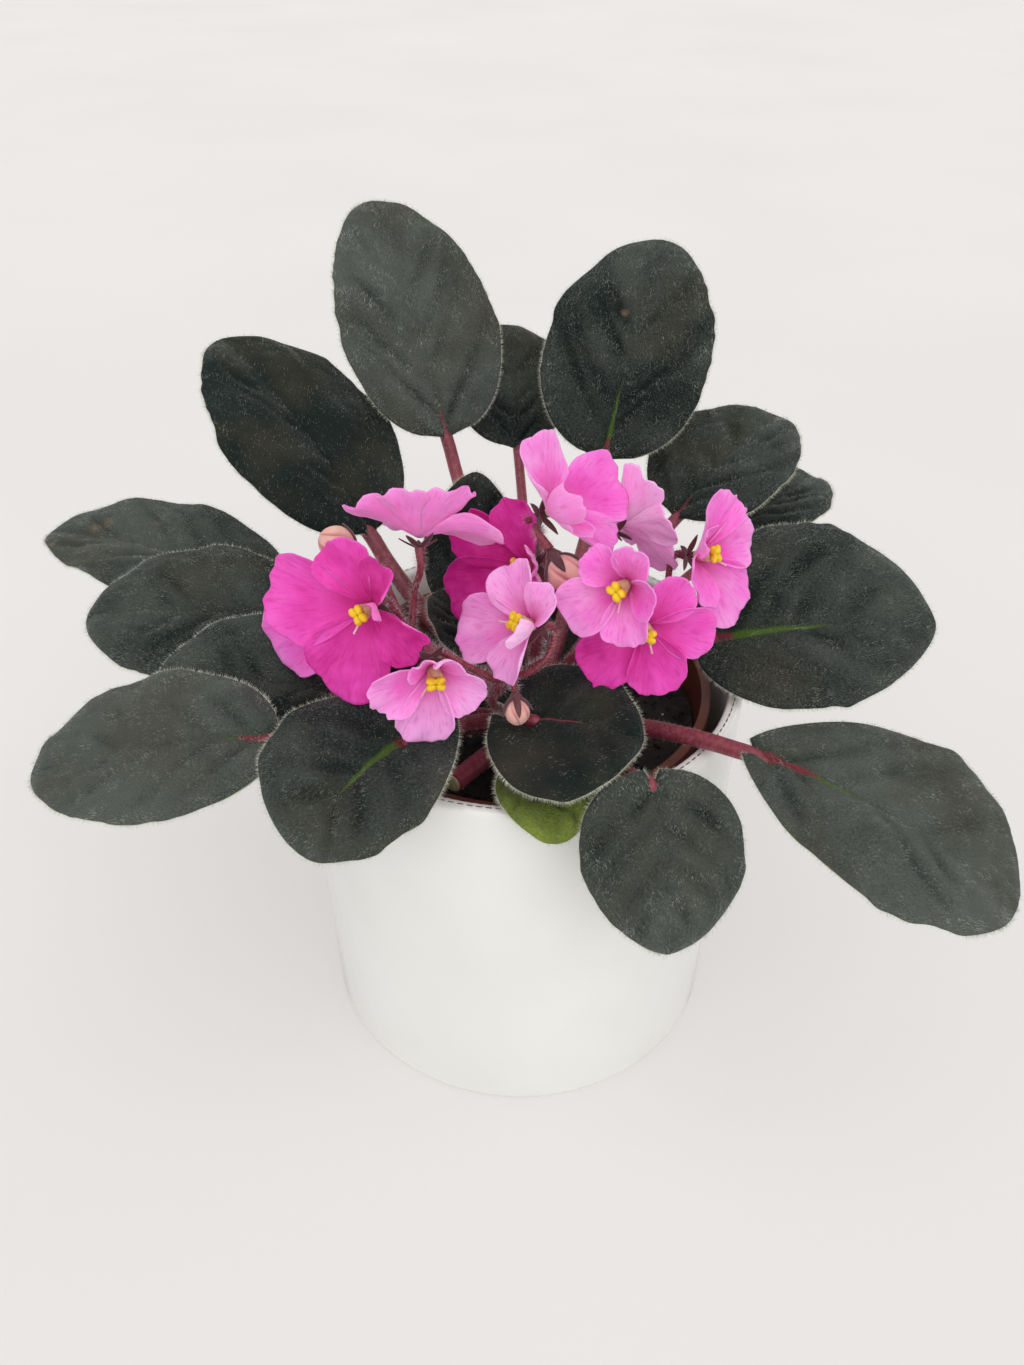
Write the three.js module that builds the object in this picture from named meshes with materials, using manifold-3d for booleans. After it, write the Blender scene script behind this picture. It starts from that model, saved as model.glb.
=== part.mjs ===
// Potted African violet in a white glazed cachepot.
// Millimetres, +Z up, front towards -Y, origin at the centre of the pot's underside.

import * as THREE from "three";
import { mergeVertices } from "three/addons/utils/BufferGeometryUtils.js";
import Module from "manifold-3d";

const wasm = await Module();
wasm.setup();

// ---- driving dimensions ----------------------------------------------------

const GAP = 0.3;

const POT = { radius: 66.5, height: 130, wall: 4.5, floor: 5, foot: 3, cove: 2, sides: 48 };

const NURSERY = {
  rimRadius: 57.5,
  rimDrop: 7,
  mouthRadius: 55.5,
  floorRadius: 44,
  wall: 0.9,
  base: 1.2,
  lip: 4,
  sides: 36,
  holes: 6,
  holeRadius: 4,
  holeRing: 28,
};

const SOIL = { level: 111, crown: 3, lump: 0.7, rings: 5, sides: 28, holeSides: 12 };

const CROWN = { x: 3, y: -12, foot: 96, top: 121, radius: 7.5, flatness: 0.7, sides: 10 };
const PETIOLE = { perWidth: 0.042, sides: 6, steps: 5, reach: 0.42, depth: 3, root: 3 };
const STUB = { end: [-19, -48, 124], bend: [-8, -36, 122], radius: 2.9, sides: 7, steps: 4 };

const BLADE = {
  rows: 10,
  columns: 6,
  thickness: 1.1,
  keel: 1.5,
  baseShare: 0.06,
  bluntness: 0.5,
  taper: 0.14,
  sideVeins: 5,
  quilt: 0.45,
  veinSweep: 0.1,
  waves: 3,
};

// Each blade runs from its stalk's end to its tip, and width is measured across it.  A positive roll
// lifts the right-hand edge seen from the crown, arch lifts the middle of the midrib above its ends,
// cup lifts both edges, lobe is how far the base reaches back beside the stalk, bulge above 1 moves
// the widest place outwards, skew widens the right-hand half, and over lifts the stalk's middle.  A reach
// of its own shortens the straight share of the stalk behind the blade.
const LEAVES = {
  leaf_far_left: {
    base: [-82, 30.5, 136.5], tip: [-160, 57, 140.5], width: 49,
    roll: 4, arch: 4, cup: 1, lobe: 5, bulge: 0.85, skew: 0, wave: 1.2, over: 9,
  },
  leaf_left: {
    base: [-70, 7.5, 139.5], tip: [-132, 9, 139.5], width: 54,
    roll: 15, arch: 3, cup: -2, lobe: 6, bulge: 0.85, skew: 0, wave: 1, over: 3,
  },
  leaf_left_low: {
    base: [-52, -26, 140.5], tip: [-105, -18, 139.5], width: 48,
    roll: 18, arch: 4, cup: -2, lobe: 5, bulge: 0.85, skew: 0, wave: 0.8, over: 2,
  },
  leaf_bottom_left: {
    base: [-67, -47.5, 139.8], tip: [-131, -51, 129], width: 48,
    roll: 14, arch: 4, cup: -1, lobe: 4, bulge: 0.85, skew: 0, wave: 0.8, over: 0,
  },
  leaf_front_left: {
    base: [-30, -51, 142], tip: [-55, -80, 130], width: 48,
    roll: 9, arch: 6, cup: -1.5, lobe: 16, bulge: 0.85, skew: 0.3, wave: 1, over: 0,
  },
  leaf_front_middle: {
    base: [3, -44, 144], tip: [31, -52, 142], width: 46,
    roll: -10, arch: 2, cup: -2, lobe: 12, bulge: 0.75, skew: 0, wave: 0.6, over: 0, reach: 0.15,
  },
  leaf_front_pale: {
    base: [5.5, -41.5, 125], tip: [8, -75.5, 129], width: 26,
    roll: 0, arch: 4.5, cup: 0, lobe: 3, bulge: 0.85, skew: 0, wave: 0.4, over: 0,
  },
  leaf_front_right: {
    base: [34.5, -62, 136], tip: [37, -89, 103.5], width: 42.5,
    roll: 0, arch: 5, cup: -2, lobe: 5, bulge: 0.75, skew: 0, wave: 0.8, over: 0,
  },
  leaf_right_low: {
    base: [68, -52, 137], tip: [125, -82, 114], width: 57,
    roll: -8, arch: 5, cup: -2, lobe: 6, bulge: 1.1, skew: 0, wave: 1, over: 0,
  },
  leaf_right: {
    base: [55, 1, 143], tip: [119, -3, 150], width: 62,
    roll: -27, arch: 3, cup: -2, lobe: 5, bulge: 0.85, skew: 0, wave: 1, over: 2,
  },
  leaf_right_behind: {
    base: [72, 56, 139], tip: [105, 86, 141], width: 35,
    roll: 0, arch: 3, cup: 1, lobe: 4, bulge: 0.85, skew: 0, wave: 0.6, over: 9,
  },
  leaf_right_upper: {
    base: [55, 56, 153], tip: [88, 87, 170], width: 50,
    roll: -2, arch: 3, cup: 1, lobe: 5, bulge: 0.85, skew: 0, wave: 0.8, over: 0,
  },
  leaf_top_right: {
    base: [27.5, 68, 163], tip: [47, 116, 220], width: 57,
    roll: 0, arch: 3, cup: 3, lobe: 4, bulge: 0.8, skew: 0, wave: 1.2, over: 0,
  },
  leaf_top_middle: {
    base: [-1, 94, 154], tip: [-7, 127, 187], width: 42,
    roll: 0, arch: 3, cup: 2, lobe: 4, bulge: 0.85, skew: 0, wave: 0.6, over: 8,
  },
  leaf_top_left: {
    base: [-27.8, 79, 171], tip: [-51.2, 129.5, 230], width: 55,
    roll: 0, arch: 3, cup: 2, lobe: 3, bulge: 0.8, skew: 0, wave: 1, over: 0,
  },
  leaf_left_upper: {
    base: [-53.5, 42, 157], tip: [-97, 83, 198], width: 62,
    roll: -5, arch: 4, cup: -1, lobe: 5, bulge: 0.85, skew: 0, wave: 1, over: 0,
  },
  leaf_centre_back: {
    base: [-17, 12, 140], tip: [-14, 37, 174], width: 29,
    roll: 0, arch: -2, cup: 2, lobe: 3, bulge: 0.85, skew: 0, wave: 0.4, over: 0,
  },
  leaf_centre: {
    base: [-9, -9, 138], tip: [-27, 5, 150], width: 24,
    roll: 0, arch: 2, cup: 1, lobe: 2, bulge: 0.85, skew: 0, wave: 0.4, over: 0,
  },
};

const PETAL = {
  columns: 6,
  rows: 3,
  thickness: 0.7,
  notch: 0.5,
  throat: 3,
  recurve: 2,
  ruffle: 0.5,
};

// Each flower has the middle of its face, the way it faces (turn from the front and rise, degrees),
// the angle of its lip, towards which the anthers lean, and its lobes: angle round the face from its
// right-hand side, length and forward lift.
const FLOWERS = {
  left: {
    at: [-39, -38, 174], turn: -18, rise: 20, lip: 220,
    lobes: [[20, 15, 68], [78, 16, 40], [127, 20, 20], [183, 25, 8], [254, 26, 6], [321, 17, 22]],
  },
  left_behind: {
    at: [-46, -24, 163], turn: -50, rise: 15, lip: 210,
    lobes: [[10, 15, 35], [85, 15, 30], [150, 19, 12], [210, 19, 10], [285, 17, 15]],
  },
  front_left: {
    at: [-22, -53, 166], turn: 10, rise: 4, lip: 268,
    lobes: [[52, 12, 50], [125, 12, 50], [207, 17, 16], [262, 19, 10], [325, 17, 16]],
  },
  front: {
    at: [0, -40, 172], turn: -48, rise: 30, lip: 185,
    lobes: [[345, 12, 75], [45, 14, 60], [105, 16, 22], [182, 17, 14], [240, 17, 20]],
  },
  top_left: {
    at: [-27.5, -15, 184.5], turn: 185, rise: 50, lip: 270,
    lobes: [[5, 21, 30], [75, 17, 25], [130, 18, 28], [185, 21, 8], [275, 18, 15]],
  },
  middle: {
    at: [1, -11, 170], turn: -40, rise: 25, lip: 190,
    lobes: [[310, 16, 50], [40, 14, 62], [100, 17, 22], [160, 20, 14], [215, 20, 14]],
  },
  top: {
    at: [8, -14, 189], turn: 50, rise: 35, lip: 320,
    lobes: [[0, 24, 8], [66, 22, 10], [140, 20, 22], [215, 16, 55], [290, 22, 20]],
  },
  top_right: {
    at: [29, 4, 176], turn: 135, rise: 15, lip: 270,
    lobes: [[50, 13, 20], [118, 17, 12], [172, 17, 8], [232, 17, 12], [300, 13, 20]],
  },
  right_front: {
    at: [25, -36, 180], turn: -22, rise: 20, lip: 230,
    lobes: [[352, 14, 55], [85, 13, 42], [160, 17, 14], [218, 19, 10], [278, 17, 14]],
  },
  right: {
    at: [49, -8, 172], turn: 50, rise: 25, lip: 350,
    lobes: [[345, 18, 12], [50, 18, 16], [110, 19, 40], [190, 14, 55], [275, 19, 14]],
  },
  right_low: {
    at: [32, -30.5, 163.5], turn: 5, rise: 20, lip: 262,
    lobes: [[3, 19, 12], [50, 14, 30], [130, 14, 30], [222, 21, 8], [284, 19, 8]],
  },
};

const ANTHER = { lobe: 1.5, stretch: 1.35, spread: 1.2, reach: 3.1, lean: 1.5, knob: 1.9, root: 0.8 };

const STALK = {
  trunkRadius: 1.9,
  trunkSides: 7,
  trunkSteps: 6,
  branchRadius: 0.85,
  branchSides: 5,
  branchSteps: 4,
  entry: 5,
  calyxRadius: 2.0,
  sepals: 5,
  sepalLength: 6,
  sepalRoot: 1.9,
  sepalTurn: 60,
};

const BUD = { radius: 4.4, length: 9.5, calyx: 0.8, sides: 8, rings: 6 };

// Buds: the middle of each bud's foot and the way it points.
const BUDS = {
  top: { at: [8, -21, 179], points: [0.55, -0.6, -0.6], size: 1.1 },
  left: { at: [-47, -4, 170], points: [-0.8, 0.1, 0.45], size: 1.1 },
  front: { at: [-2, -46, 152], points: [0.1, -0.45, -0.85], size: 0.75 },
  right: { at: [49, -3, 154], points: [0.85, -0.35, 0.1], size: 1.15 },
};

// Flower stalks: the route of each trunk and, for each flower or bud on it, one point that its own
// stalk passes after leaving the trunk's end.
const CLUSTERS = {
  left: {
    trunk: [[-2.5, -15.5, 124.6], [-7, -19, 134], [-16, -25, 144], [-30, -26, 157]],
    flowers: { left: [-34, -27, 166], left_behind: [-38, -20, 158], top_left: [-29, -20, 168] },
    buds: { left: [-36, -16, 164] },
  },
  front: {
    trunk: [[2.5, -17.5, 125], [-3.5, -23, 131], [-7.5, -32, 139], [-6, -38, 151]],
    flowers: { front_left: [-14, -42, 159], front: [8, -36, 158] },
    buds: { front: [-3, -42, 155] },
  },
  right: {
    trunk: [[7.5, -12, 124.8], [11, -12, 134], [20, -10, 144], [28, -6, 152]],
    flowers: {
      right_front: [28, -15, 166], right: [40, -4, 157.5], right_low: [31, -9, 154], top_right: [20, 4, 168],
    },
    buds: { right: [39, 1, 151] },
  },
  back: {
    trunk: [[3, -7.5, 123.8], [4, -4, 134], [5, 2, 148], [5, 4, 164]],
    flowers: { top: [1, -1, 180], middle: [5, 1, 170] },
    buds: { top: [4, -4, 178] },
  },
};

const COLOURS = {
  glaze: { color: 0xf1f0ec, roughness: 0.18, metalness: 0 },
  plastic: { color: 0x7a3b28, roughness: 0.5, metalness: 0 },
  peat: { color: 0x1f1814, roughness: 0.95, metalness: 0 },
  stalk: { color: 0x6b2f38, roughness: 0.6, metalness: 0 },
  leaf: { color: 0x38443b, roughness: 0.75, metalness: 0 },
  young: { color: 0x5d7a34, roughness: 0.7, metalness: 0 },
  petal: { color: 0xe06cc4, roughness: 0.55, metalness: 0 },
  pollen: { color: 0xf2c318, roughness: 0.6, metalness: 0 },
  bud: { color: 0xe8b9ab, roughness: 0.55, metalness: 0 },
};

const WELD = 1e-4;

// ---- shape tools -----------------------------------------------------------

const UP = new THREE.Vector3(0, 0, 1);
const degrees = THREE.MathUtils.degToRad;
const vector = (place) => new THREE.Vector3(...place);

// Merges a geometry's corners, leaves out faces without area and turns the faces outwards.
function closed(geometry) {
  const bare = geometry.clone();
  bare.deleteAttribute("normal");
  bare.deleteAttribute("uv");
  const merged = mergeVertices(bare, WELD);
  const corners = merged.attributes.position;
  const corner = (index) => new THREE.Vector3().fromBufferAttribute(corners, index);
  const faces = [];
  let volume = 0;
  for (let i = 0; i < merged.index.count; i += 3) {
    const [a, b, c] = merged.index.array.slice(i, i + 3);
    if (a === b || b === c || c === a) continue;
    faces.push([a, b, c]);
    volume += corner(a).dot(corner(b).cross(corner(c)));
  }
  merged.setIndex((volume < 0 ? faces.map(([a, b, c]) => [a, c, b]) : faces).flat());
  return merged;
}

function solid(geometry) {
  const shape = closed(geometry);
  const vertProperties = new Float32Array(shape.attributes.position.array);
  const triVerts = new Uint32Array(shape.index.array);
  return new wasm.Manifold(new wasm.Mesh({ numProp: 3, vertProperties, triVerts }));
}

function joined(geometries) {
  return geometries.map(solid).reduce((whole, piece) => whole.add(piece));
}

function geometryOf(body) {
  const { vertProperties, triVerts } = body.getMesh();
  const geometry = new THREE.BufferGeometry();
  geometry.setAttribute("position", new THREE.BufferAttribute(vertProperties, 3));
  geometry.setIndex(new THREE.BufferAttribute(triVerts, 1));
  return geometry;
}

// A round-sided rod of one radius along a curve.
function rod(curve, radius, sides, steps) {
  const section = new THREE.Shape();
  for (let side = 0; side < sides; side += 1) {
    const angle = (2 * Math.PI * side) / sides;
    const [x, y] = [radius * Math.cos(angle), radius * Math.sin(angle)];
    if (side === 0) section.moveTo(x, y);
    else section.lineTo(x, y);
  }
  return new THREE.ExtrudeGeometry(section, { steps, extrudePath: curve, curveSegments: 1 });
}

// A profile of [radius, height] pairs turned round the Z axis.
function turned(profile, sides) {
  const points = profile.map(([radius, height]) => new THREE.Vector2(radius, height));
  return new THREE.LatheGeometry(points, sides).rotateX(Math.PI / 2);
}

// A thin blade.  middle(u, v) gives its middle surface and thickness(u, v) its thickness, for u
// and v from 0 to 1.  Both faces are split into triangles alike, and a ring closes on itself in v.
function blade({ rows, columns, middle, thickness, ring = false }) {
  const step = 0.01;
  const perRow = ring ? columns : columns + 1;
  const clamp = (value) => Math.min(1, Math.max(0, value));
  const sides = ring ? (value) => value : clamp;
  const faces = { top: [], bottom: [] };
  const grid = [];
  for (let row = 0; row <= rows; row += 1) {
    const u = row / rows;
    const places = [];
    const normals = [];
    for (let column = 0; column < perRow; column += 1) {
      const v = column / columns;
      const alongRow = middle(u, sides(v + step)).sub(middle(u, sides(v - step)));
      const alongBlade = middle(clamp(u + step), v).sub(middle(clamp(u - step), v));
      places.push(middle(u, v));
      normals.push(alongBlade.cross(alongRow));
    }
    const point = places.every((place) => place.distanceTo(places[0]) < 1e-6);
    if (point) {
      const inner = clamp(u + (row ? -5 : 5) * step);
      const ends = places.map((place, column) => middle(inner, column / columns).sub(place));
      const shared = new THREE.Vector3();
      ends.forEach((end, i) => shared.add(end.cross(ends[(i + 1) % ends.length])));
      if (shared.dot(normals.reduce((sum, normal) => sum.add(normal), new THREE.Vector3())) < 0) {
        shared.negate();
      }
      normals.fill(shared);
    }
    grid.push(places.map((place, column) => {
      if (point && column) return null;
      const offset = normals[column].clone().normalize().multiplyScalar(
        thickness(u, column / columns) / 2,
      );
      faces.top.push(place.clone().add(offset));
      faces.bottom.push(place.clone().sub(offset));
      return faces.top.length - 1;
    }));
    if (point) grid[row].fill(grid[row][0]);
  }

  const triangles = [];
  for (let row = 0; row < rows; row += 1) {
    for (let column = 0; column < columns; column += 1) {
      const next = (column + 1) % perRow;
      const [a, b] = [grid[row][column], grid[row][next]];
      const [c, d] = [grid[row + 1][column], grid[row + 1][next]];
      triangles.push([a, b, d], [a, d, c]);
    }
  }
  const real = triangles.filter(([a, b, c]) => a !== b && b !== c && c !== a);
  const edges = new Set();
  for (const [a, b, c] of real) [[a, b], [b, c], [c, a]].forEach((edge) => edges.add(edge.join()));
  const under = faces.top.length;
  const shell = real.flatMap(([a, b, c]) => [a, b, c, a + under, c + under, b + under]);
  for (const edge of edges) {
    const [a, b] = edge.split(",").map(Number);
    if (!edges.has([b, a].join())) shell.push(b, a, a + under, b, a + under, b + under);
  }
  const geometry = new THREE.BufferGeometry();
  geometry.setFromPoints([...faces.top, ...faces.bottom]);
  geometry.setIndex(shell);
  return closed(geometry);
}

const group = new THREE.Group();

function addPart(name, geometry, finish) {
  const mesh = new THREE.Mesh(geometry, new THREE.MeshStandardMaterial(finish));
  mesh.name = name;
  group.add(mesh);
}

// ---- pot, nursery pot and soil ----------------------------------------------

// Cachepot: a straight glazed cylinder with a rounded lip and a slightly rounded foot.
function potGeometry() {
  const { radius, height, wall, floor, foot, cove, sides } = POT;
  const inner = radius - wall;
  const lip = wall / 2;
  const profile = [[0, 0], [radius - foot, 0]];
  for (const angle of [-45, 0]) {
    const turn = degrees(angle);
    profile.push([radius - foot + foot * Math.cos(turn), foot + foot * Math.sin(turn)]);
  }
  for (let angle = 0; angle <= 180; angle += 45) {
    const turn = degrees(angle);
    profile.push([radius - lip + lip * Math.cos(turn), height - lip + lip * Math.sin(turn)]);
  }
  profile.push([inner, floor + cove], [inner - cove, floor], [0, floor]);
  return closed(turned(profile, sides));
}

// Nursery pot: a thin tapered cup with a turned-out rim and drain holes, standing on the floor.
function nurseryGeometry() {
  const { rimRadius, mouthRadius, floorRadius, wall, base, lip, sides } = NURSERY;
  const foot = POT.floor + GAP;
  const top = POT.height - NURSERY.rimDrop;
  const cup = solid(turned([
    [0, foot],
    [floorRadius, foot],
    [mouthRadius, top - lip],
    [rimRadius, top - lip],
    [rimRadius, top],
    [mouthRadius - wall, top],
    [mouthRadius - wall, top - lip],
    [floorRadius - wall, foot + base],
    [0, foot + base],
  ], sides));
  const holes = Array.from({ length: NURSERY.holes }, (_, i) => {
    const angle = (2 * Math.PI * i) / NURSERY.holes;
    const hole = new THREE.CylinderGeometry(NURSERY.holeRadius, NURSERY.holeRadius, 4 * base, 8);
    hole.rotateX(Math.PI / 2);
    hole.translate(NURSERY.holeRing * Math.cos(angle), NURSERY.holeRing * Math.sin(angle), foot);
    return solid(hole);
  });
  return geometryOf(holes.reduce((body, hole) => body.subtract(hole), cup));
}

// Soil: fills the nursery pot, with a low lumpy mound on top and a plain hole for the stem.
function soilGeometry() {
  const { level, crown, lump, rings, sides } = SOIL;
  const foot = POT.floor + GAP + NURSERY.base + GAP;
  const top = POT.height - NURSERY.rimDrop - NURSERY.lip;
  const slope = (NURSERY.mouthRadius - NURSERY.floorRadius) / (top - POT.floor - GAP);
  const inset = 1.3 * NURSERY.wall + GAP;
  const wallAt = (height) => NURSERY.floorRadius + slope * (height - POT.floor - GAP) - inset;
  const profile = [[0, foot], [wallAt(foot), foot], [wallAt(level), level]];
  for (let ring = rings; ring >= 0; ring -= 1) {
    const share = ring / (rings + 1);
    profile.push([wallAt(level) * share, level + crown * (1 - share * share)]);
  }
  const mound = turned(profile, sides);
  const corners = mound.attributes.position;
  for (let i = 0; i < corners.count; i += 1) {
    const [x, y, z] = [corners.getX(i), corners.getY(i), corners.getZ(i)];
    const ripple = Math.sin(x * 0.31 + 1) * Math.cos(y * 0.37) + Math.sin(x * 0.13 - y * 0.21);
    if (z > level + 0.1) corners.setZ(i, z + lump * ripple);
  }
  const depth = 2 * (level + crown - CROWN.foot);
  const hole = new THREE.CylinderGeometry(CROWN.radius + GAP, CROWN.radius + GAP, depth, SOIL.holeSides);
  hole.rotateX(Math.PI / 2);
  hole.translate(CROWN.x, CROWN.y, CROWN.foot - GAP + depth / 2);
  return geometryOf(solid(mound).subtract(solid(hole)));
}

// ---- leaves -------------------------------------------------------------------

// The leaf's own directions: out along the blade, across it and up through it.
function leafFrame(leaf) {
  const base = vector(leaf.base);
  const length = base.distanceTo(vector(leaf.tip));
  const out = vector(leaf.tip).sub(base).normalize();
  const across = out.clone().cross(UP).normalize().applyAxisAngle(out, -degrees(leaf.roll));
  return { base, length, out, across, face: across.clone().cross(out) };
}

function keelAt(u, v) {
  return BLADE.keel * (1 - u) * Math.max(0, 1 - 3 * Math.abs(v));
}

// A place on the blade's middle surface: u from base to tip, v from the left edge (-1) to the right.
function bladePlace(leaf, frame, u, v) {
  const side = Math.abs(v);
  const middle = 4 * u * (1 - u);
  const edge = u + BLADE.veinSweep * middle;
  const fullness = Math.sin(Math.PI * (BLADE.baseShare + (1 - BLADE.baseShare) * edge ** leaf.bulge));
  const half = (leaf.width / 2) * Math.max(0, fullness) ** (BLADE.bluntness + BLADE.taper * edge);
  const lobe = leaf.lobe * Math.sin(0.7 * Math.PI * Math.max(0, 1.5 * side - 0.5)) * (1 - u) ** 4;
  const along = frame.length * (u + BLADE.veinSweep * side * middle) - lobe;
  const quilt = -BLADE.quilt * Math.cos(2 * Math.PI * BLADE.sideVeins * u) * 4 * side * (1 - side);
  const wave = leaf.wave * side ** 3 * Math.sin(2 * Math.PI * BLADE.waves * u + 2 * Math.sign(v)) * middle;
  const rise = leaf.arch * middle + leaf.cup * v * v * middle + quilt * middle + wave - keelAt(u, v) / 2;
  return frame.base.clone()
    .addScaledVector(frame.out, along)
    .addScaledVector(frame.across, half * v * (1 + leaf.skew * Math.sign(v)))
    .addScaledVector(frame.face, rise);
}

function leafGeometry(leaf) {
  const frame = leafFrame(leaf);
  const { rows, columns } = BLADE;
  return blade({
    rows,
    columns,
    middle: (u, v) => bladePlace(leaf, frame, u, 2 * v - 1),
    thickness: (u, v) => BLADE.thickness + keelAt(u, 2 * v - 1),
  });
}

// The leaf's stalk leaves the crown towards the leaf and meets the base in line with the midrib.
function petioleGeometry(leaf) {
  const frame = leafFrame(leaf);
  const meeting = frame.out.clone().multiplyScalar(frame.length);
  meeting.addScaledVector(frame.face, 4 * leaf.arch).normalize();
  const end = frame.base.clone().addScaledVector(meeting, -GAP).addScaledVector(frame.face, -BLADE.keel / 2);
  const centre = new THREE.Vector3(CROWN.x, CROWN.y, CROWN.top - PETIOLE.depth);
  const away = end.clone().sub(centre).setZ(0).normalize();
  const start = centre.clone().addScaledVector(away, PETIOLE.root);
  const reach = (leaf.reach ?? PETIOLE.reach) * start.distanceTo(end);
  const handle = end.clone().addScaledVector(meeting, -reach);
  handle.z += leaf.over;
  const route = new THREE.QuadraticBezierCurve3(start, handle, end);
  return rod(route, PETIOLE.perWidth * leaf.width, PETIOLE.sides, PETIOLE.steps);
}

// Crown: the short fleshy stem, every leaf stalk and one cut stub, grown as one piece.
function crownGeometry() {
  const { x, y, foot, top, radius, flatness, sides } = CROWN;
  const stem = new THREE.CylinderGeometry(radius * 0.9, radius * 0.8, top - foot, sides);
  stem.rotateX(Math.PI / 2).translate(x, y, (top + foot) / 2);
  const heart = new THREE.SphereGeometry(radius, sides, 6).scale(1, 1, flatness);
  heart.translate(x, y, top - PETIOLE.depth + 1);
  const root = new THREE.Vector3(x, y, top - PETIOLE.depth - 1);
  const stub = new THREE.QuadraticBezierCurve3(root, vector(STUB.bend), vector(STUB.end));
  const stalks = Object.values(LEAVES).map(petioleGeometry);
  return geometryOf(joined([stem, heart, rod(stub, STUB.radius, STUB.sides, STUB.steps), ...stalks]));
}

// ---- flowers --------------------------------------------------------------------

// The flower's own directions: out of its face, to the right of its face and up it.
function flowerFrame(flower) {
  const [turn, rise] = [degrees(flower.turn), degrees(flower.rise)];
  const face = new THREE.Vector3(
    Math.cos(rise) * Math.sin(turn),
    -Math.cos(rise) * Math.cos(turn),
    Math.sin(rise),
  );
  const right = new THREE.Vector3(Math.cos(turn), Math.sin(turn), 0);
  return { at: vector(flower.at), face, right, up: face.clone().cross(right) };
}

// A place on the corolla: rho from the throat (0) to the edge (1), turn once round from 0 to 1.
function corollaPlace(flower, frame, rho, turn) {
  const lobes = flower.lobes;
  const spot = (((turn % 1) + 1) % 1) * lobes.length;
  const index = Math.floor(spot + 1e-9) % lobes.length;
  const raw = 2 * (spot - Math.floor(spot + 1e-9)) - 1;
  const w = Math.sign(raw) * Math.abs(raw) ** 0.75;
  const [angle, length, lift] = lobes[index];
  const [nextAngle, nextLength, nextLift] = lobes[(index + (w < 0 ? lobes.length - 1 : 1)) % lobes.length];
  let apart = nextAngle - angle;
  if (w < 0 && apart > 0) apart -= 360;
  if (w >= 0 && apart < 0) apart += 360;
  const round = degrees(angle + (Math.abs(w) * apart) / 2);
  const edge = (PETAL.notch * (length + nextLength)) / 2;
  const reach = edge + (length - edge) * Math.max(0, 1 - Math.abs(w) ** 4) ** 0.6;
  const tilt = degrees(lift + ((nextLift - lift) / 2) * w * w) * (0.5 + 0.5 * rho);
  const out = reach * rho;
  const ruffle = PETAL.ruffle * rho ** 2 * Math.cos(3 * Math.PI * w) * (1 - Math.abs(w));
  const forward = out * Math.sin(tilt) - PETAL.throat * (1 - rho) ** 3
    - PETAL.recurve * rho ** 3 * (1 - w * w) + ruffle;
  return frame.at.clone()
    .addScaledVector(frame.right, out * Math.cos(tilt) * Math.cos(round))
    .addScaledVector(frame.up, out * Math.cos(tilt) * Math.sin(round))
    .addScaledVector(frame.face, forward);
}

// Corolla: five or six lobes grown together round a short throat.
function corollaGeometry(flower) {
  const frame = flowerFrame(flower);
  return blade({
    rows: PETAL.rows,
    columns: PETAL.columns * flower.lobes.length,
    middle: (rho, turn) => corollaPlace(flower, frame, rho, turn),
    thickness: () => PETAL.thickness,
    ring: true,
  });
}

// Turns a shape that points along +Z so that it points along a direction, and moves it to a place.
function pointed(geometry, direction, place) {
  const turn = new THREE.Quaternion().setFromUnitVectors(UP, direction.clone().normalize());
  return geometry.applyQuaternion(turn).translate(place.x, place.y, place.z);
}

// Anthers: a touching pair, stretched across, on filaments that swell into a knob over the throat.
function antherGeometry(flower) {
  const { at, face, right, up } = flowerFrame(flower);
  const lip = degrees(flower.lip);
  const lean = right.clone().multiplyScalar(Math.cos(lip)).addScaledVector(up, Math.sin(lip));
  const aside = face.clone().cross(lean);
  const turn = new THREE.Matrix4().makeBasis(lean, aside, face);
  const placed = (geometry, forward, leaning, sideways) => {
    geometry.translate(leaning, sideways, forward).applyMatrix4(turn);
    return geometry.translate(at.x, at.y, at.z);
  };
  const throat = -PETAL.throat + PETAL.thickness / 2 + GAP;
  const rootLength = ANTHER.knob - throat;
  const root = new THREE.ConeGeometry(ANTHER.root, rootLength, 4).rotateX(-Math.PI / 2);
  const pieces = [
    placed(root, throat + rootLength / 2, 0, 0),
    placed(new THREE.OctahedronGeometry(ANTHER.knob, 0), ANTHER.knob, ANTHER.lean / 3, 0),
  ];
  for (const side of [-1, 1]) {
    const lobe = new THREE.OctahedronGeometry(ANTHER.lobe, 0).scale(ANTHER.stretch, 1, 1);
    pieces.push(placed(lobe, ANTHER.reach, ANTHER.lean, side * ANTHER.spread));
  }
  return geometryOf(joined(pieces));
}

// ---- flower stalks and buds -------------------------------------------------------

// Calyx: a small cup with five pointed sepals spread like a star, open towards the direction.
function calyxPiece(place, direction, size) {
  const points = [new THREE.Vector3(0, 0, -STALK.calyxRadius), new THREE.Vector3(0, 0, STALK.calyxRadius)];
  const tilt = degrees(STALK.sepalTurn);
  for (let i = 0; i < 2 * STALK.sepals; i += 1) {
    const round = (Math.PI * (i + 0.6)) / STALK.sepals;
    const reach = i % 2 ? STALK.sepalRoot : STALK.sepalLength;
    points.push(new THREE.Vector3(
      reach * Math.sin(tilt) * Math.cos(round),
      reach * Math.sin(tilt) * Math.sin(round),
      reach * Math.cos(tilt),
    ));
  }
  const faces = [];
  for (let i = 0; i < 2 * STALK.sepals; i += 1) {
    const [a, b] = [2 + i, 2 + ((i + 1) % (2 * STALK.sepals))];
    faces.push(0, b, a, 1, a, b);
  }
  const star = new THREE.BufferGeometry().setFromPoints(points);
  star.setIndex(faces);
  return pointed(star.scale(size, size, size), direction, place);
}

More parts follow.
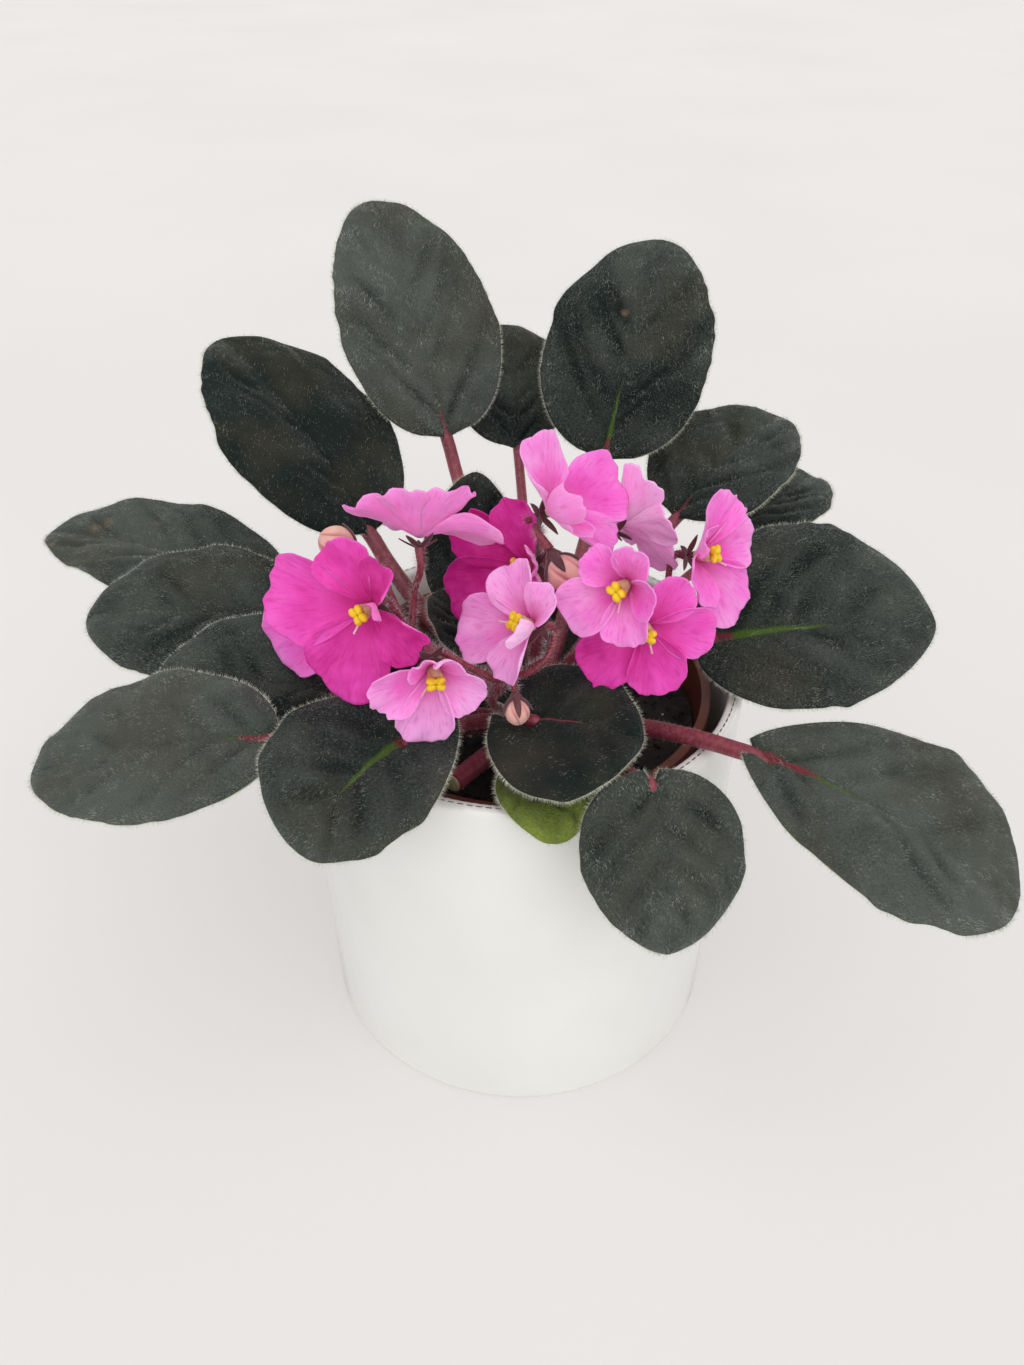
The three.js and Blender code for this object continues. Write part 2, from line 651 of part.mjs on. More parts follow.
function branchPieces(fork, pass, seat, direction, size) {
  const entry = seat.clone().addScaledVector(direction, -STALK.entry);
  const route = new THREE.CatmullRomCurve3([fork, vector(pass), entry, seat]);
  return [
    rod(route, STALK.branchRadius, STALK.branchSides, STALK.branchSteps),
    calyxPiece(seat, direction, size),
  ];
}

function flowerSeat(flower) {
  const { at, face } = flowerFrame(flower);
  const depth = PETAL.throat + PETAL.thickness / 2 + GAP + STALK.calyxRadius;
  return { seat: at.clone().addScaledVector(face, -depth), direction: face };
}

function budSeat(bud) {
  const direction = vector(bud.points).normalize();
  const depth = STALK.calyxRadius * bud.size + GAP;
  return { seat: vector(bud.at).addScaledVector(direction, -depth), direction };
}

function clusterGeometry(cluster) {
  const trunk = new THREE.CatmullRomCurve3(cluster.trunk.map(vector));
  const fork = vector(cluster.trunk.at(-1));
  const pieces = [
    rod(trunk, STALK.trunkRadius, STALK.trunkSides, STALK.trunkSteps),
    new THREE.IcosahedronGeometry(1.15 * STALK.trunkRadius, 0).translate(...cluster.trunk.at(-1)),
  ];
  for (const [name, pass] of Object.entries(cluster.flowers)) {
    const { seat, direction } = flowerSeat(FLOWERS[name]);
    pieces.push(...branchPieces(fork, pass, seat, direction, 1));
  }
  for (const [name, pass] of Object.entries(cluster.buds)) {
    const { seat, direction } = budSeat(BUDS[name]);
    pieces.push(...branchPieces(fork, pass, seat, direction, BUD.calyx * BUDS[name].size));
  }
  return geometryOf(joined(pieces));
}

// Bud: a closed egg of folded petals.
function budGeometry(bud) {
  const direction = vector(bud.points).normalize();
  const egg = new THREE.SphereGeometry(1, BUD.sides, BUD.rings).rotateX(Math.PI / 2);
  egg.scale(BUD.radius * bud.size, BUD.radius * bud.size, (BUD.length / 2) * bud.size);
  egg.translate(0, 0, (BUD.length / 2) * bud.size);
  return closed(pointed(egg, direction, vector(bud.at)));
}

// ---- the whole plant ----------------------------------------------------------------

addPart("pot", potGeometry(), COLOURS.glaze);
addPart("nursery_pot", nurseryGeometry(), COLOURS.plastic);
addPart("soil", soilGeometry(), COLOURS.peat);
addPart("crown", crownGeometry(), COLOURS.stalk);

for (const [name, leaf] of Object.entries(LEAVES)) {
  addPart(name, leafGeometry(leaf), name === "leaf_front_pale" ? COLOURS.young : COLOURS.leaf);
}
for (const [name, flower] of Object.entries(FLOWERS)) {
  addPart(`corolla_${name}`, corollaGeometry(flower), COLOURS.petal);
  addPart(`anthers_${name}`, antherGeometry(flower), COLOURS.pollen);
}
for (const [name, cluster] of Object.entries(CLUSTERS)) {
  addPart(`stalks_${name}`, clusterGeometry(cluster), COLOURS.stalk);
}
for (const [name, bud] of Object.entries(BUDS)) {
  addPart(`bud_${name}`, budGeometry(bud), COLOURS.bud);
}

export default group;
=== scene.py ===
# Potted African violet: a hairy-leaved rosette with pink flowers in a white glazed pot.
# Sizes in the tables are millimetres, and MM turns them into the scene's metres.

import math
import random

import bmesh
import bpy
from mathutils import Matrix, Quaternion, Vector, noise


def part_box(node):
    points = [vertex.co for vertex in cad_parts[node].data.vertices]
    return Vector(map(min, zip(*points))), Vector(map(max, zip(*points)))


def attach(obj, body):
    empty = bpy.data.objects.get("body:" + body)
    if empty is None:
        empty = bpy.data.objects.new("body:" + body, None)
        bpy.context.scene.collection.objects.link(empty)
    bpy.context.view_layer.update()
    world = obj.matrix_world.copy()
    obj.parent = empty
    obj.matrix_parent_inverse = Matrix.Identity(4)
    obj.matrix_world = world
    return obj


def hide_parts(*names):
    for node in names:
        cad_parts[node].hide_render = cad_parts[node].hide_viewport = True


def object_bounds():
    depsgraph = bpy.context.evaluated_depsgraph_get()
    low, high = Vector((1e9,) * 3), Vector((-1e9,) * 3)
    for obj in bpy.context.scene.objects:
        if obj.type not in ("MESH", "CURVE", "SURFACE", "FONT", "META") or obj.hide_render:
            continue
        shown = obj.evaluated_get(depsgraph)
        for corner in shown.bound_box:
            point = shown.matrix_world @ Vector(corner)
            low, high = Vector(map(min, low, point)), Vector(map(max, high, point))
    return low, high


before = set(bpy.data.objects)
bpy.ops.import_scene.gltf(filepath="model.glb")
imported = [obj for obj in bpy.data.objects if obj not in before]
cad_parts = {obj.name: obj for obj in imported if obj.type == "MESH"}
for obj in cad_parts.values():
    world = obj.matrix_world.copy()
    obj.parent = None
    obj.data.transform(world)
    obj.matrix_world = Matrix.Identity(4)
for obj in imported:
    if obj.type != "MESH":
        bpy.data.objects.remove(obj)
solid_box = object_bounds()

MM = 0.001


# ---- Cachepot ---------------------------------------------------------------
# The outer pot is slip-cast earthenware, a plain straight cylinder under a thick white gloss
# glaze. Its wall is rounded over at the lip, and its foot is eased where the glaze stops.

POT_SIDES = 160
POT_WALL = 4.5 * MM
POT_FLOOR = 5 * MM
POT_LIP_EASE = 0.46 * POT_WALL
POT_FOOT_EASE = 3 * MM
GLAZE_WHITE = (0.83, 0.83, 0.81)


def pick_alone(piece):
    """Selects one piece and nothing else."""
    bpy.ops.object.select_all(action="DESELECT")
    piece.select_set(True)
    bpy.context.view_layer.objects.active = piece


def shape(piece):
    """Opens a piece for shaping."""
    pick_alone(piece)
    bpy.ops.object.mode_set(mode="EDIT")


def pick(piece, kind, wanted):
    """While shaping, selects the faces or the edges that pass a test."""
    bpy.ops.mesh.select_mode(type=kind)
    bpy.ops.mesh.select_all(action="DESELECT")
    mesh = bmesh.from_edit_mesh(piece.data)
    for part in mesh.faces if kind == "FACE" else mesh.edges:
        part.select_set(wanted(part))
    bmesh.update_edit_mesh(piece.data)


def looks_up(face):
    """Whether a face looks straight up."""
    return face.normal.z > 0.9


def lies_above(height):
    """A test for edges that lie above a height."""
    return lambda edge: all(corner.co.z > height for corner in edge.verts)


def pull(height=0.0):
    """While shaping, extrudes what is selected straight up or down."""
    bpy.ops.mesh.extrude_region_move(TRANSFORM_OT_translate={"value": (0, 0, height)})


def add_finish(name, colour, roughness, sockets=None):
    """A new finish: its plain shader, still without its pattern."""
    made = bpy.data.materials.new(name)
    made.use_nodes = True
    shader = made.node_tree.nodes["Principled BSDF"]
    shader.inputs["Base Color"].default_value = (*colour, 1)
    shader.inputs["Roughness"].default_value = roughness
    for socket, value in (sockets or {}).items():
        shader.inputs[socket].default_value = value
    return made


def add_node(made, kind, inputs=None, **choices):
    """Adds a pattern node to a finish. Each input gets a plain value or what feeds it."""
    node = made.node_tree.nodes.new(kind)
    for key, value in choices.items():
        setattr(node, key, value)
    for key, value in (inputs or {}).items():
        if isinstance(value, bpy.types.NodeSocket):
            made.node_tree.links.new(value, node.inputs[key])
        else:
            node.inputs[key].default_value = value
    return node


def grain(made, scale, detail, feed=None, stretch=None):
    """Cloudy grain on the piece's own coordinates, or on another feed."""
    if feed is None:
        feed = add_node(made, "ShaderNodeTexCoord").outputs["Object"]
    if stretch is not None:
        feed = add_node(made, "ShaderNodeMapping", {"Scale": stretch, "Vector": feed}).outputs[0]
    inputs = {"Scale": scale, "Detail": detail, "Vector": feed}
    return add_node(made, "ShaderNodeTexNoise", inputs).outputs["Fac"]


def ramp(made, feed, *stops):
    """Turns a grey feed into colours: each stop is a place from 0 to 1 and a colour."""
    node = add_node(made, "ShaderNodeValToRGB", {"Fac": feed})
    while len(node.color_ramp.elements) < len(stops):
        node.color_ramp.elements.new(0.5)
    for element, (place, colour) in zip(node.color_ramp.elements, stops):
        element.position = place
        element.color = (*colour, 1)
    return node.outputs["Color"]


def colour_by(made, feed):
    """Gives a finish the colour of a feed."""
    made.node_tree.links.new(feed, made.node_tree.nodes["Principled BSDF"].inputs["Base Color"])


def mottle(made, scale, detail, *stops):
    """Colours a finish in clouds, through the stops of a ramp."""
    colour_by(made, ramp(made, grain(made, scale, detail), *stops))


def emboss(made, feed, height, strength=1.0):
    """Raises the surface's shading by a feed, height metres from lowest to highest."""
    node = add_node(made, "ShaderNodeBump", {"Distance": height, "Strength": strength, "Height": feed})
    shader = made.node_tree.nodes["Principled BSDF"]
    made.node_tree.links.new(node.outputs["Normal"], shader.inputs["Normal"])


def dress(piece, finishes):
    """Gives a piece its finishes. All of it has the first until some faces are given another."""
    for made in finishes:
        piece.data.materials.append(made)


def finish_piece(piece, name, finishes, slot, *nodes):
    """Names a piece, gives it its finishes and lets it stand for its solids."""
    piece.name = name
    piece.data.name = name
    dress(piece, finishes)
    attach(piece, "root")
    if nodes:
        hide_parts(*nodes)


pot_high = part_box("pot")[1]
bpy.ops.mesh.primitive_cylinder_add(
    vertices=POT_SIDES, radius=pot_high.x, depth=pot_high.z, location=(0, 0, pot_high.z / 2)
)
pot = bpy.context.object
bpy.ops.object.transform_apply(location=True)
shape(pot)
pick(pot, "FACE", looks_up)
bpy.ops.mesh.inset(thickness=POT_WALL)
pull(POT_FLOOR - pot_high.z)
pick(pot, "EDGE", lies_above(pot_high.z - MM))
bpy.ops.mesh.bevel(offset=POT_LIP_EASE, segments=6, affect="EDGES")
pick(pot, "EDGE", lambda edge: all(
    corner.co.z < MM and corner.co.xy.length > pot_high.x - MM for corner in edge.verts
))
bpy.ops.mesh.bevel(offset=POT_FOOT_EASE, segments=5, affect="EDGES")
bpy.ops.object.mode_set(mode="OBJECT")
bpy.ops.object.shade_smooth_by_angle(angle=math.radians(40))

glaze = add_finish("white_glaze", GLAZE_WHITE, 0.16, {"Coat Weight": 0.4, "Coat Roughness": 0.08})
mottle(glaze, 18, 3, (0.3, (0.80, 0.80, 0.775)), (0.7, (0.86, 0.86, 0.84)))
emboss(glaze, grain(glaze, 60, 2), 0.12 * MM, 0.5)
finish_piece(pot, "glazed_cachepot", [glaze], "glazed_pot", "pot")


# ---- Nursery pot --------------------------------------------------------------
# The plant still stands in its thin red-brown growing pot, blown from soft plastic: a tapered
# cup with a turned-out rim and drain holes in its floor, loose inside the cachepot.

CUP_SIDES = 120
CUP_WALL = 0.9 * MM
CUP_FLOOR = 1.2 * MM
CUP_RIM_DEPTH = 4 * MM
CUP_RIM_EASE = 0.35 * MM
CUP_MOUTH = 55.5 * MM
CUP_BOTTOM = 44 * MM
CUP_HOLES = 6
CUP_HOLE_RADIUS = 4 * MM
CUP_HOLE_RING = 28 * MM

cup_low, cup_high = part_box("nursery_pot")
cup_rim = cup_high.x
cup_depth = cup_high.z - CUP_RIM_DEPTH - cup_low.z
bpy.ops.mesh.primitive_cone_add(
    vertices=CUP_SIDES, radius1=CUP_BOTTOM, radius2=CUP_MOUTH, depth=cup_depth,
    location=(0, 0, cup_low.z + cup_depth / 2),
)
growing_pot = bpy.context.object
bpy.ops.object.transform_apply(location=True)
shape(growing_pot)
pick(growing_pot, "FACE", looks_up)
pull()
bpy.ops.transform.resize(value=(cup_rim / CUP_MOUTH, cup_rim / CUP_MOUTH, 1))
pull(CUP_RIM_DEPTH)
bpy.ops.mesh.inset(thickness=cup_rim - CUP_MOUTH + CUP_WALL)
pull(-CUP_RIM_DEPTH)
pull(CUP_FLOOR - cup_depth)
cup_narrowing = (CUP_BOTTOM - CUP_WALL) / (CUP_MOUTH - CUP_WALL)
bpy.ops.transform.resize(value=(cup_narrowing, cup_narrowing, 1))
pick(growing_pot, "EDGE", lies_above(cup_high.z - 0.1 * MM))
bpy.ops.mesh.bevel(offset=CUP_RIM_EASE, segments=3, affect="EDGES")
bpy.ops.object.mode_set(mode="OBJECT")
for number in range(CUP_HOLES):
    turn = 2 * math.pi * number / CUP_HOLES
    hole_place = (CUP_HOLE_RING * math.cos(turn), CUP_HOLE_RING * math.sin(turn), cup_low.z)
    bpy.ops.mesh.primitive_cylinder_add(
        vertices=24, radius=CUP_HOLE_RADIUS, depth=8 * CUP_FLOOR, location=hole_place
    )
    drill = bpy.context.object
    pick_alone(growing_pot)
    hole = growing_pot.modifiers.new("hole", "BOOLEAN")
    hole.object = drill
    hole.operation = "DIFFERENCE"
    bpy.ops.object.modifier_apply(modifier=hole.name)
    bpy.data.objects.remove(drill)
bpy.ops.object.shade_smooth_by_angle(angle=math.radians(35))

plastic = add_finish("growing_pot_plastic", (0.21, 0.055, 0.028), 0.42)
mottle(plastic, 90, 4,
       (0.3, (0.09, 0.024, 0.014)), (0.6, (0.16, 0.042, 0.022)), (0.8, (0.24, 0.075, 0.042)))
emboss(plastic, grain(plastic, 700, 2), 0.08 * MM, 0.4)
finish_piece(growing_pot, "growing_pot", [plastic], "pot_plastic", "nursery_pot")


# ---- Soil ---------------------------------------------------------------------
# Damp black peat fills the growing pot in a low mound. Its top is loose: crumbs of peat, bark
# shreds and a few pale specks of perlite lie on it.

SOIL_CELLS = 110
SOIL_LEVEL = 111 * MM
SOIL_LUMP = 1.1 * MM
SOIL_CROWN = 3 * MM
SOIL_FOOT_SHARE = 0.8
CRUMBS = 900
CRUMB_SIZES = (0.5 * MM, 2.0 * MM)
CRUMB_FLATNESS = 0.7
PERLITE = 26
PERLITE_SIZES = (0.4 * MM, 1.0 * MM)
SHREDS = 70
SHRED_SIZES = (0.4 * MM, 0.9 * MM)
SHRED_STRETCH = 3.5
SOIL_EDGE = 2 * MM

soil_low, soil_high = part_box("soil")
soil_radius = soil_high.x
random.seed(11)


def soil_top(x, y):
    """The soil's height at a place."""
    share = min(1, math.hypot(x, y) / soil_radius)
    lumps = noise.noise(Vector((x, y, 0)) * 90) + 0.6 * noise.noise(Vector((x, y, 4)) * 330)
    return SOIL_LEVEL + SOIL_CROWN * (1 - share * share) + SOIL_LUMP * lumps


bpy.ops.mesh.primitive_grid_add(x_subdivisions=SOIL_CELLS, y_subdivisions=SOIL_CELLS, size=2)
soil = bpy.context.object
for corner in soil.data.vertices:
    x, y = corner.co.xy
    across = Vector((x * math.sqrt(1 - y * y / 2), y * math.sqrt(1 - x * x / 2))) * soil_radius
    corner.co = (*across, soil_top(*across))
shape(soil)
bpy.ops.mesh.select_all(action="SELECT")
bpy.ops.mesh.region_to_loop()
bpy.ops.mesh.extrude_edges_move(TRANSFORM_OT_translate={"value": (0, 0, soil_low.z - SOIL_LEVEL)})
bpy.ops.transform.resize(value=(SOIL_FOOT_SHARE, SOIL_FOOT_SHARE, 0), center_override=(0, 0, soil_low.z))
bpy.ops.mesh.edge_face_add()
bpy.ops.mesh.select_all(action="SELECT")
bpy.ops.mesh.normals_make_consistent(inside=False)
bpy.ops.object.mode_set(mode="OBJECT")
bpy.ops.object.shade_smooth_by_angle(angle=math.radians(60))

peat = add_finish("damp_peat", (0.012, 0.009, 0.008), 0.85)
mottle(peat, 260, 6,
       (0.35, (0.006, 0.005, 0.005)), (0.55, (0.016, 0.011, 0.009)), (0.78, (0.045, 0.027, 0.018)))
emboss(peat, grain(peat, 900, 5), 0.6 * MM)
finish_piece(soil, "peat", [peat], "soil", "soil")


def strew(pattern_piece, places):
    """One mesh of many copies of a small shape, each set down by its own matrix. Takes the shape."""
    corners = [corner.co.copy() for corner in pattern_piece.data.vertices]
    faces = [tuple(face.vertices) for face in pattern_piece.data.polygons]
    all_corners = []
    all_faces = []
    for place in places:
        start = len(all_corners)
        all_corners += [place @ corner for corner in corners]
        all_faces += [tuple(start + index for index in face) for face in faces]
    pattern_piece.data.clear_geometry()
    pattern_piece.data.from_pydata(all_corners, [], all_faces)
    return pattern_piece


def tossed(x, y, z, size):
    """A random turn and stretch for a crumb at a place."""
    turn = Quaternion((random.random(), random.random(), random.random()), random.uniform(0, 6.3))
    spread = Matrix.Diagonal((size, size * random.uniform(0.6, 1), size * CRUMB_FLATNESS, 1))
    return Matrix.Translation((x, y, z)) @ turn.to_matrix().to_4x4() @ spread


def soil_spot(margin):
    """A random place on top of the soil."""
    while True:
        x = random.uniform(-soil_radius, soil_radius)
        y = random.uniform(-soil_radius, soil_radius)
        if math.hypot(x, y) < soil_radius - margin:
            return x, y, soil_top(x, y)


def add_crumbs(name, count, sizes, made, stretch=1.0):
    """Strews small rough crumbs over the soil, partly sunk in it."""
    bpy.ops.mesh.primitive_ico_sphere_add(subdivisions=1, radius=1)
    crumbs = bpy.context.object
    for corner in crumbs.data.vertices:
        corner.co *= random.uniform(0.75, 1.1)
        corner.co.x *= stretch
    places = []
    for _ in range(count):
        size = random.uniform(*sizes) * random.random() ** 0.5
        x, y, z = soil_spot(SOIL_EDGE + size)
        places.append(tossed(x, y, z + 0.25 * size, size))
    finish_piece(strew(crumbs, places), name, [made], "soil")


perlite = add_finish("perlite", (0.42, 0.39, 0.34), 0.9)
mottle(perlite, 500, 3, (0.3, (0.2, 0.17, 0.14)), (0.7, (0.5, 0.47, 0.42)))
bark = add_finish("bark_shreds", (0.05, 0.026, 0.014), 0.8)
mottle(bark, 400, 4, (0.3, (0.02, 0.012, 0.008)), (0.75, (0.10, 0.05, 0.024)))
add_crumbs("peat_crumbs", CRUMBS, CRUMB_SIZES, peat)
add_crumbs("bark_shreds", SHREDS, SHRED_SIZES, bark, SHRED_STRETCH)
add_crumbs("perlite_specks", PERLITE, PERLITE_SIZES, perlite)


# ---- Crown and leaf stalks ------------------------------------------------------
# The rosette grows from one short fleshy stem rooted in the peat. Its red-brown leaf stalks are
# hairy and as thick as a straw; one old stalk was cut, and its pale stub is left at front left.

# Each blade runs from its stalk's end to its tip. A positive roll lifts the right-hand edge seen from
# the crown, arch lifts the middle of the midrib, cup lifts both edges, lobe is how far the base reaches
# back beside the stalk, bulge moves the widest place, skew widens the right-hand half, wave is the
# margin's, taper narrows the tip, and tone is how pale the velvet looks. Tone is painted light: a high
# tone paints the sheen of light on the hairs into the blade's colour, a low one paints shade, and it also
# sets how many hairs lie on the blade. The stalk turns towards the blade at the share reach of its way,
# and over lifts its middle. The midrib is rib mm to each side, red up to one share of the blade and green
# up to another. What a row leaves out is usual and stands in Blade.
LEAVES = {
    "far_left": dict(base=(-82, 30.5, 136.5), tip=(-159, 57, 140.5), width=49, roll=4, arch=4, cup=1,
        lobe=5, wave=1.2, taper=0.1, over=9, tone=0.7),
    "left": dict(base=(-70, 7.5, 139.5), tip=(-132, 9, 139.5), width=54, roll=15, lobe=6, taper=0.08,
        over=3, tone=0.48),
    "left_low": dict(base=(-52, -27, 138), tip=(-105, -19, 136.5), width=48, roll=18, arch=4, lobe=5,
        wave=0.8, over=2, tone=0.32),
    "bottom_left": dict(base=(-67, -47.5, 139.8), tip=(-131, -51, 129), width=48, roll=14, arch=4,
        cup=-1, lobe=3, wave=0.8, taper=0.1, tone=1.0, red=0.14, green=0.22, rib=1.4),
    "front_left": dict(base=(-30, -51, 142), tip=(-55, -80, 130), width=48, roll=9, arch=6, cup=-1.5,
        lobe=16, bulge=1.0, skew=0.12, taper=0, tone=0.45, red=0.1, green=0.62, rib=1.9),
    "front_middle": dict(base=(3, -44, 144), tip=(31, -52, 142), width=46, roll=-10, arch=2, lobe=12,
        bulge=0.75, skew=0.14, wave=0.6, reach=0.15, tone=-0.3, red=0.5),
    "front_pale": dict(base=(5.5, -41.5, 125), tip=(8, -75.5, 129), width=28, arch=4.5, cup=0, lobe=3,
        bulge=1.1, wave=0.4, taper=0, tone=0.5),
    "front_right": dict(base=(33, -62, 137), tip=(37, -89, 103.5), width=42.5, arch=5, bulge=0.75,
        wave=0.8, reach=0.05, over=-4, tone=0.7, red=0.05, rib=0.7),
    "right_low": dict(base=(62, -49, 135.8), tip=(125, -82, 114), width=57, roll=-8, arch=5, bulge=1.2,
        skew=-0.06, taper=0, tone=0.9, red=0.24, green=0.4, rib=1.9),
    "right": dict(base=(55, -4, 140.5), tip=(119, -6, 148.5), width=62, roll=-27, lobe=5, skew=-0.16,
        over=2, tone=0.45, red=0.12, green=0.55, rib=2.2),
    "right_behind": dict(base=(72, 56, 141), tip=(105, 86, 147), width=38, cup=1, wave=0.6, over=9,
        tone=0.5),
    "right_upper": dict(base=(50.5, 52, 150.7), tip=(88, 87, 170), width=50, roll=-2, cup=1, lobe=-1,
        wave=0.8, taper=0.05, tone=0.4, red=0.2),
    "top_right": dict(base=(27.5, 68, 163), tip=(47, 116, 220), width=57, cup=3, lobe=-1, bulge=0.8,
        wave=1.2, taper=0.06, tone=0.34, red=0.1, green=0.34, rib=1.5),
    "top_middle": dict(base=(-1, 94, 154), tip=(-7, 127, 187), width=42, cup=2, lobe=-2, wave=0.6,
        over=8, tone=0.5),
    "top_left": dict(base=(-24.8, 76, 167.3), tip=(-51.2, 129, 228.8), width=55, cup=2, lobe=-1,
        bulge=0.8, taper=0.02, tone=0.8, red=0.13, rib=1.2),
    "left_upper": dict(base=(-47.5, 37.5, 152.5), tip=(-97, 83, 198), width=62, roll=-5, arch=4, cup=-1,
        lobe=-1, taper=0.05, tone=-0.25),
    "centre_back": dict(base=(-17, 12, 140), tip=(-14, 37, 174), width=29, arch=-2, cup=2, lobe=3,
        wave=0.4, tone=0.05),
    "centre": dict(base=(-9, -9, 138), tip=(-27, 5, 150), width=24, arch=2, cup=1, lobe=2, wave=0.4,
        tone=0.05),
}

UP = Vector((0, 0, 1))
CROWN_MIDDLE = Vector((3, -12, 118)) * MM
CROWN_RADIUS = 7.5 * MM
CROWN_FOOT = 96 * MM
STALK_ROOT = 3 * MM
STALK_PER_WIDTH = 0.042
STALK_REACH = 0.42
STALK_STEPS = 8
STALK_BELOW = 1.4 * MM
STALK_ALONG_RIB = (0.06, 0.14, 0.24, 0.36, 0.48)
RIB_BELOW = 1.15 * MM
STALK_HAIRS_PER_MM = 9
STALK_HAIR_LENGTHS = (0.5, 1.3)
STEM_HEIGHTS = (104, 111, 116, 119.5, 122.5)
STEM_SHARES = (0.8, 0.82, 0.85, 1.0, 0.85, 0.25)
STUB_KNOTS = ((3, -12, 117), (-3, -25, 120.5), (-9.5, -34.5, 122.3), (-19, -48, 124))
STUB_RADIUS = 2.9 * MM
STUB_HAIRS_PER_MM = 5
STUB_HAIR_LENGTHS = (0.4, 1.0)
HAIR_THICKNESS = 0.035 * MM


class Blade:
    """One leaf blade: its own directions and its smooth middle surface."""

    def __init__(self, base, tip, width, tone, arch=3, cup=-2, lobe=4, wave=1, over=0, rib=1.0, roll=0,
                 skew=0, bulge=0.85, taper=0.14, reach=STALK_REACH, red=0.0, green=0.0):
        way = Vector(tip) - Vector(base)
        self.base = Vector(base) * MM
        self.length = way.length * MM
        self.out = way.normalized()
        self.across = Quaternion(self.out, -math.radians(roll)) @ self.out.cross(UP).normalized()
        self.face = self.across.cross(self.out)
        self.width, self.arch, self.cup = width * MM, arch * MM, cup * MM
        self.lobe, self.wave, self.over, self.rib = lobe * MM, wave * MM, over * MM, rib * MM
        self.skew, self.bulge, self.taper, self.reach = skew, bulge, taper, reach
        self.tone, self.red, self.green = tone, red, green

    def half_width(self, u):
        """Half the blade's width at a share of its length."""
        edge = u + 0.4 * u * (1 - u)
        fullness = math.sin(math.pi * (0.004 + 0.996 * edge ** self.bulge))
        return self.width / 2 * max(0, fullness) ** (0.5 + self.taper * edge)

    def place(self, u, v, rise=0.0):
        """A place on the blade: u from base to tip, v from the left edge (-1) to the right."""
        side = abs(v)
        middle = 4 * u * (1 - u)
        back = 0.9 * self.lobe * math.sin(0.5 * math.pi * max(0, 1.35 * side - 0.35)) * (1 - u) ** 4
        along = self.length * (u + 0.1 * side * middle) - back
        handed = math.copysign(1, v) if v else 0
        ripple = self.wave * side ** 3 * math.sin(6 * math.pi * u + 2 * handed) * middle
        height = self.arch * middle + self.cup * v * v * middle + ripple + rise
        lateral = self.half_width(u) * v * (1 + self.skew * handed)
        return self.base + self.out * along + self.across * lateral + self.face * height


def grow_tube(knots, radii, roundness):
    """A round stalk through some knots, as thick at each as the radii say."""
    bpy.ops.curve.primitive_bezier_curve_add()
    tube = bpy.context.object
    points = tube.data.splines[0].bezier_points
    points.add(len(knots) - 2)
    for point, knot, radius in zip(points, knots, radii):
        point.co = knot
        point.radius = radius / MM
        point.handle_left_type = "AUTO"
        point.handle_right_type = "AUTO"
    tube.data.resolution_u = 4
    tube.data.bevel_depth = MM
    tube.data.bevel_resolution = roundness
    tube.data.use_fill_caps = True
    bpy.ops.object.convert(target="MESH")
    return bpy.context.object


def join_pieces(pieces):
    """Makes several pieces one object."""
    pick_alone(pieces[0])
    for piece in pieces:
        piece.select_set(True)
    bpy.ops.object.join()
    return bpy.context.object


def bent_line(start, handle, end, steps):
    """Knots along a stalk that leaves its start towards the handle and arrives from it."""
    shares = [step / steps for step in range(steps + 1)]
    return [start * (1 - t) ** 2 + handle * 2 * t * (1 - t) + end * t * t for t in shares]


def stalk_knots(leaf):
    """The leaf stalk's knots, from deep in the crown to the blade's base."""
    meeting = leaf.out * leaf.length + leaf.face * 4 * leaf.arch
    meeting.normalize()
    end = leaf.base - leaf.face * STALK_BELOW
    away = end - CROWN_MIDDLE
    away.z = 0
    start = CROWN_MIDDLE + away.normalized() * STALK_ROOT
    handle = end - meeting * leaf.reach * (end - start).length
    handle.z += leaf.over
    return bent_line(start, handle, end, STALK_STEPS)


def turned_towards(direction):
    """The turn that lays the upright axis along a direction."""
    return UP.rotation_difference(direction).to_matrix().to_4x4()


def hair_at(root, direction, length, thickness=HAIR_THICKNESS):
    """Where one hair stands: its matrix for a cone of unit size."""
    spread = Matrix.Diagonal((thickness, thickness, length, 1))
    return Matrix.Translation(root) @ turned_towards(direction) @ spread


def drawn(count):
    """As many draws as a count says, its fraction decided by chance."""
    return range(int(count) + (random.random() < count % 1))


def tube_hairs(knots, radii, per_mm, lengths):
    """Hairs all round a stalk, leaning a little towards its end."""
    places = []
    for near, far, near_radius, far_radius in zip(knots, knots[1:], radii, radii[1:]):
        run = far - near
        for _ in drawn(per_mm * run.length / MM):
            t = random.random()
            around = run.orthogonal().normalized()
            around.rotate(Quaternion(run.normalized(), random.uniform(0, 2 * math.pi)))
            radius = 0.9 * (near_radius + t * (far_radius - near_radius))
            lean = run.normalized() * random.uniform(-0.2, 0.6)
            root = near + run * t + around * radius
            places.append(hair_at(root, around + lean, random.uniform(*lengths) * MM))
    return places


def inside_solids(spot):
    """Whether a spot is inside the box of the whole plant's solids."""
    return all(low <= value <= high for low, value, high in zip(solid_box[0], spot, solid_box[1]))


def add_hairs(name, places, made, slot):
    """A coat of hairs, each a three-sided spike. One that would reach past the solids is left out."""
    bpy.ops.mesh.primitive_cone_add(vertices=3, radius1=1, depth=1, location=(0, 0, 0.5))
    bpy.ops.object.transform_apply(location=True)
    kept = [place for place in places if inside_solids(place @ UP)]
    finish_piece(strew(bpy.context.object, kept), name, [made], slot)


def share_colours(made, share, first, second, way="MIX"):
    """Mixes two colours or colour feeds by a share."""
    ends = [(*end, 1) if isinstance(end, tuple) else end for end in (first, second)]
    inputs = {0: share, 6: ends[0], 7: ends[1]}
    return add_node(made, "ShaderNodeMix", inputs, data_type="RGBA", blend_type=way).outputs[2]


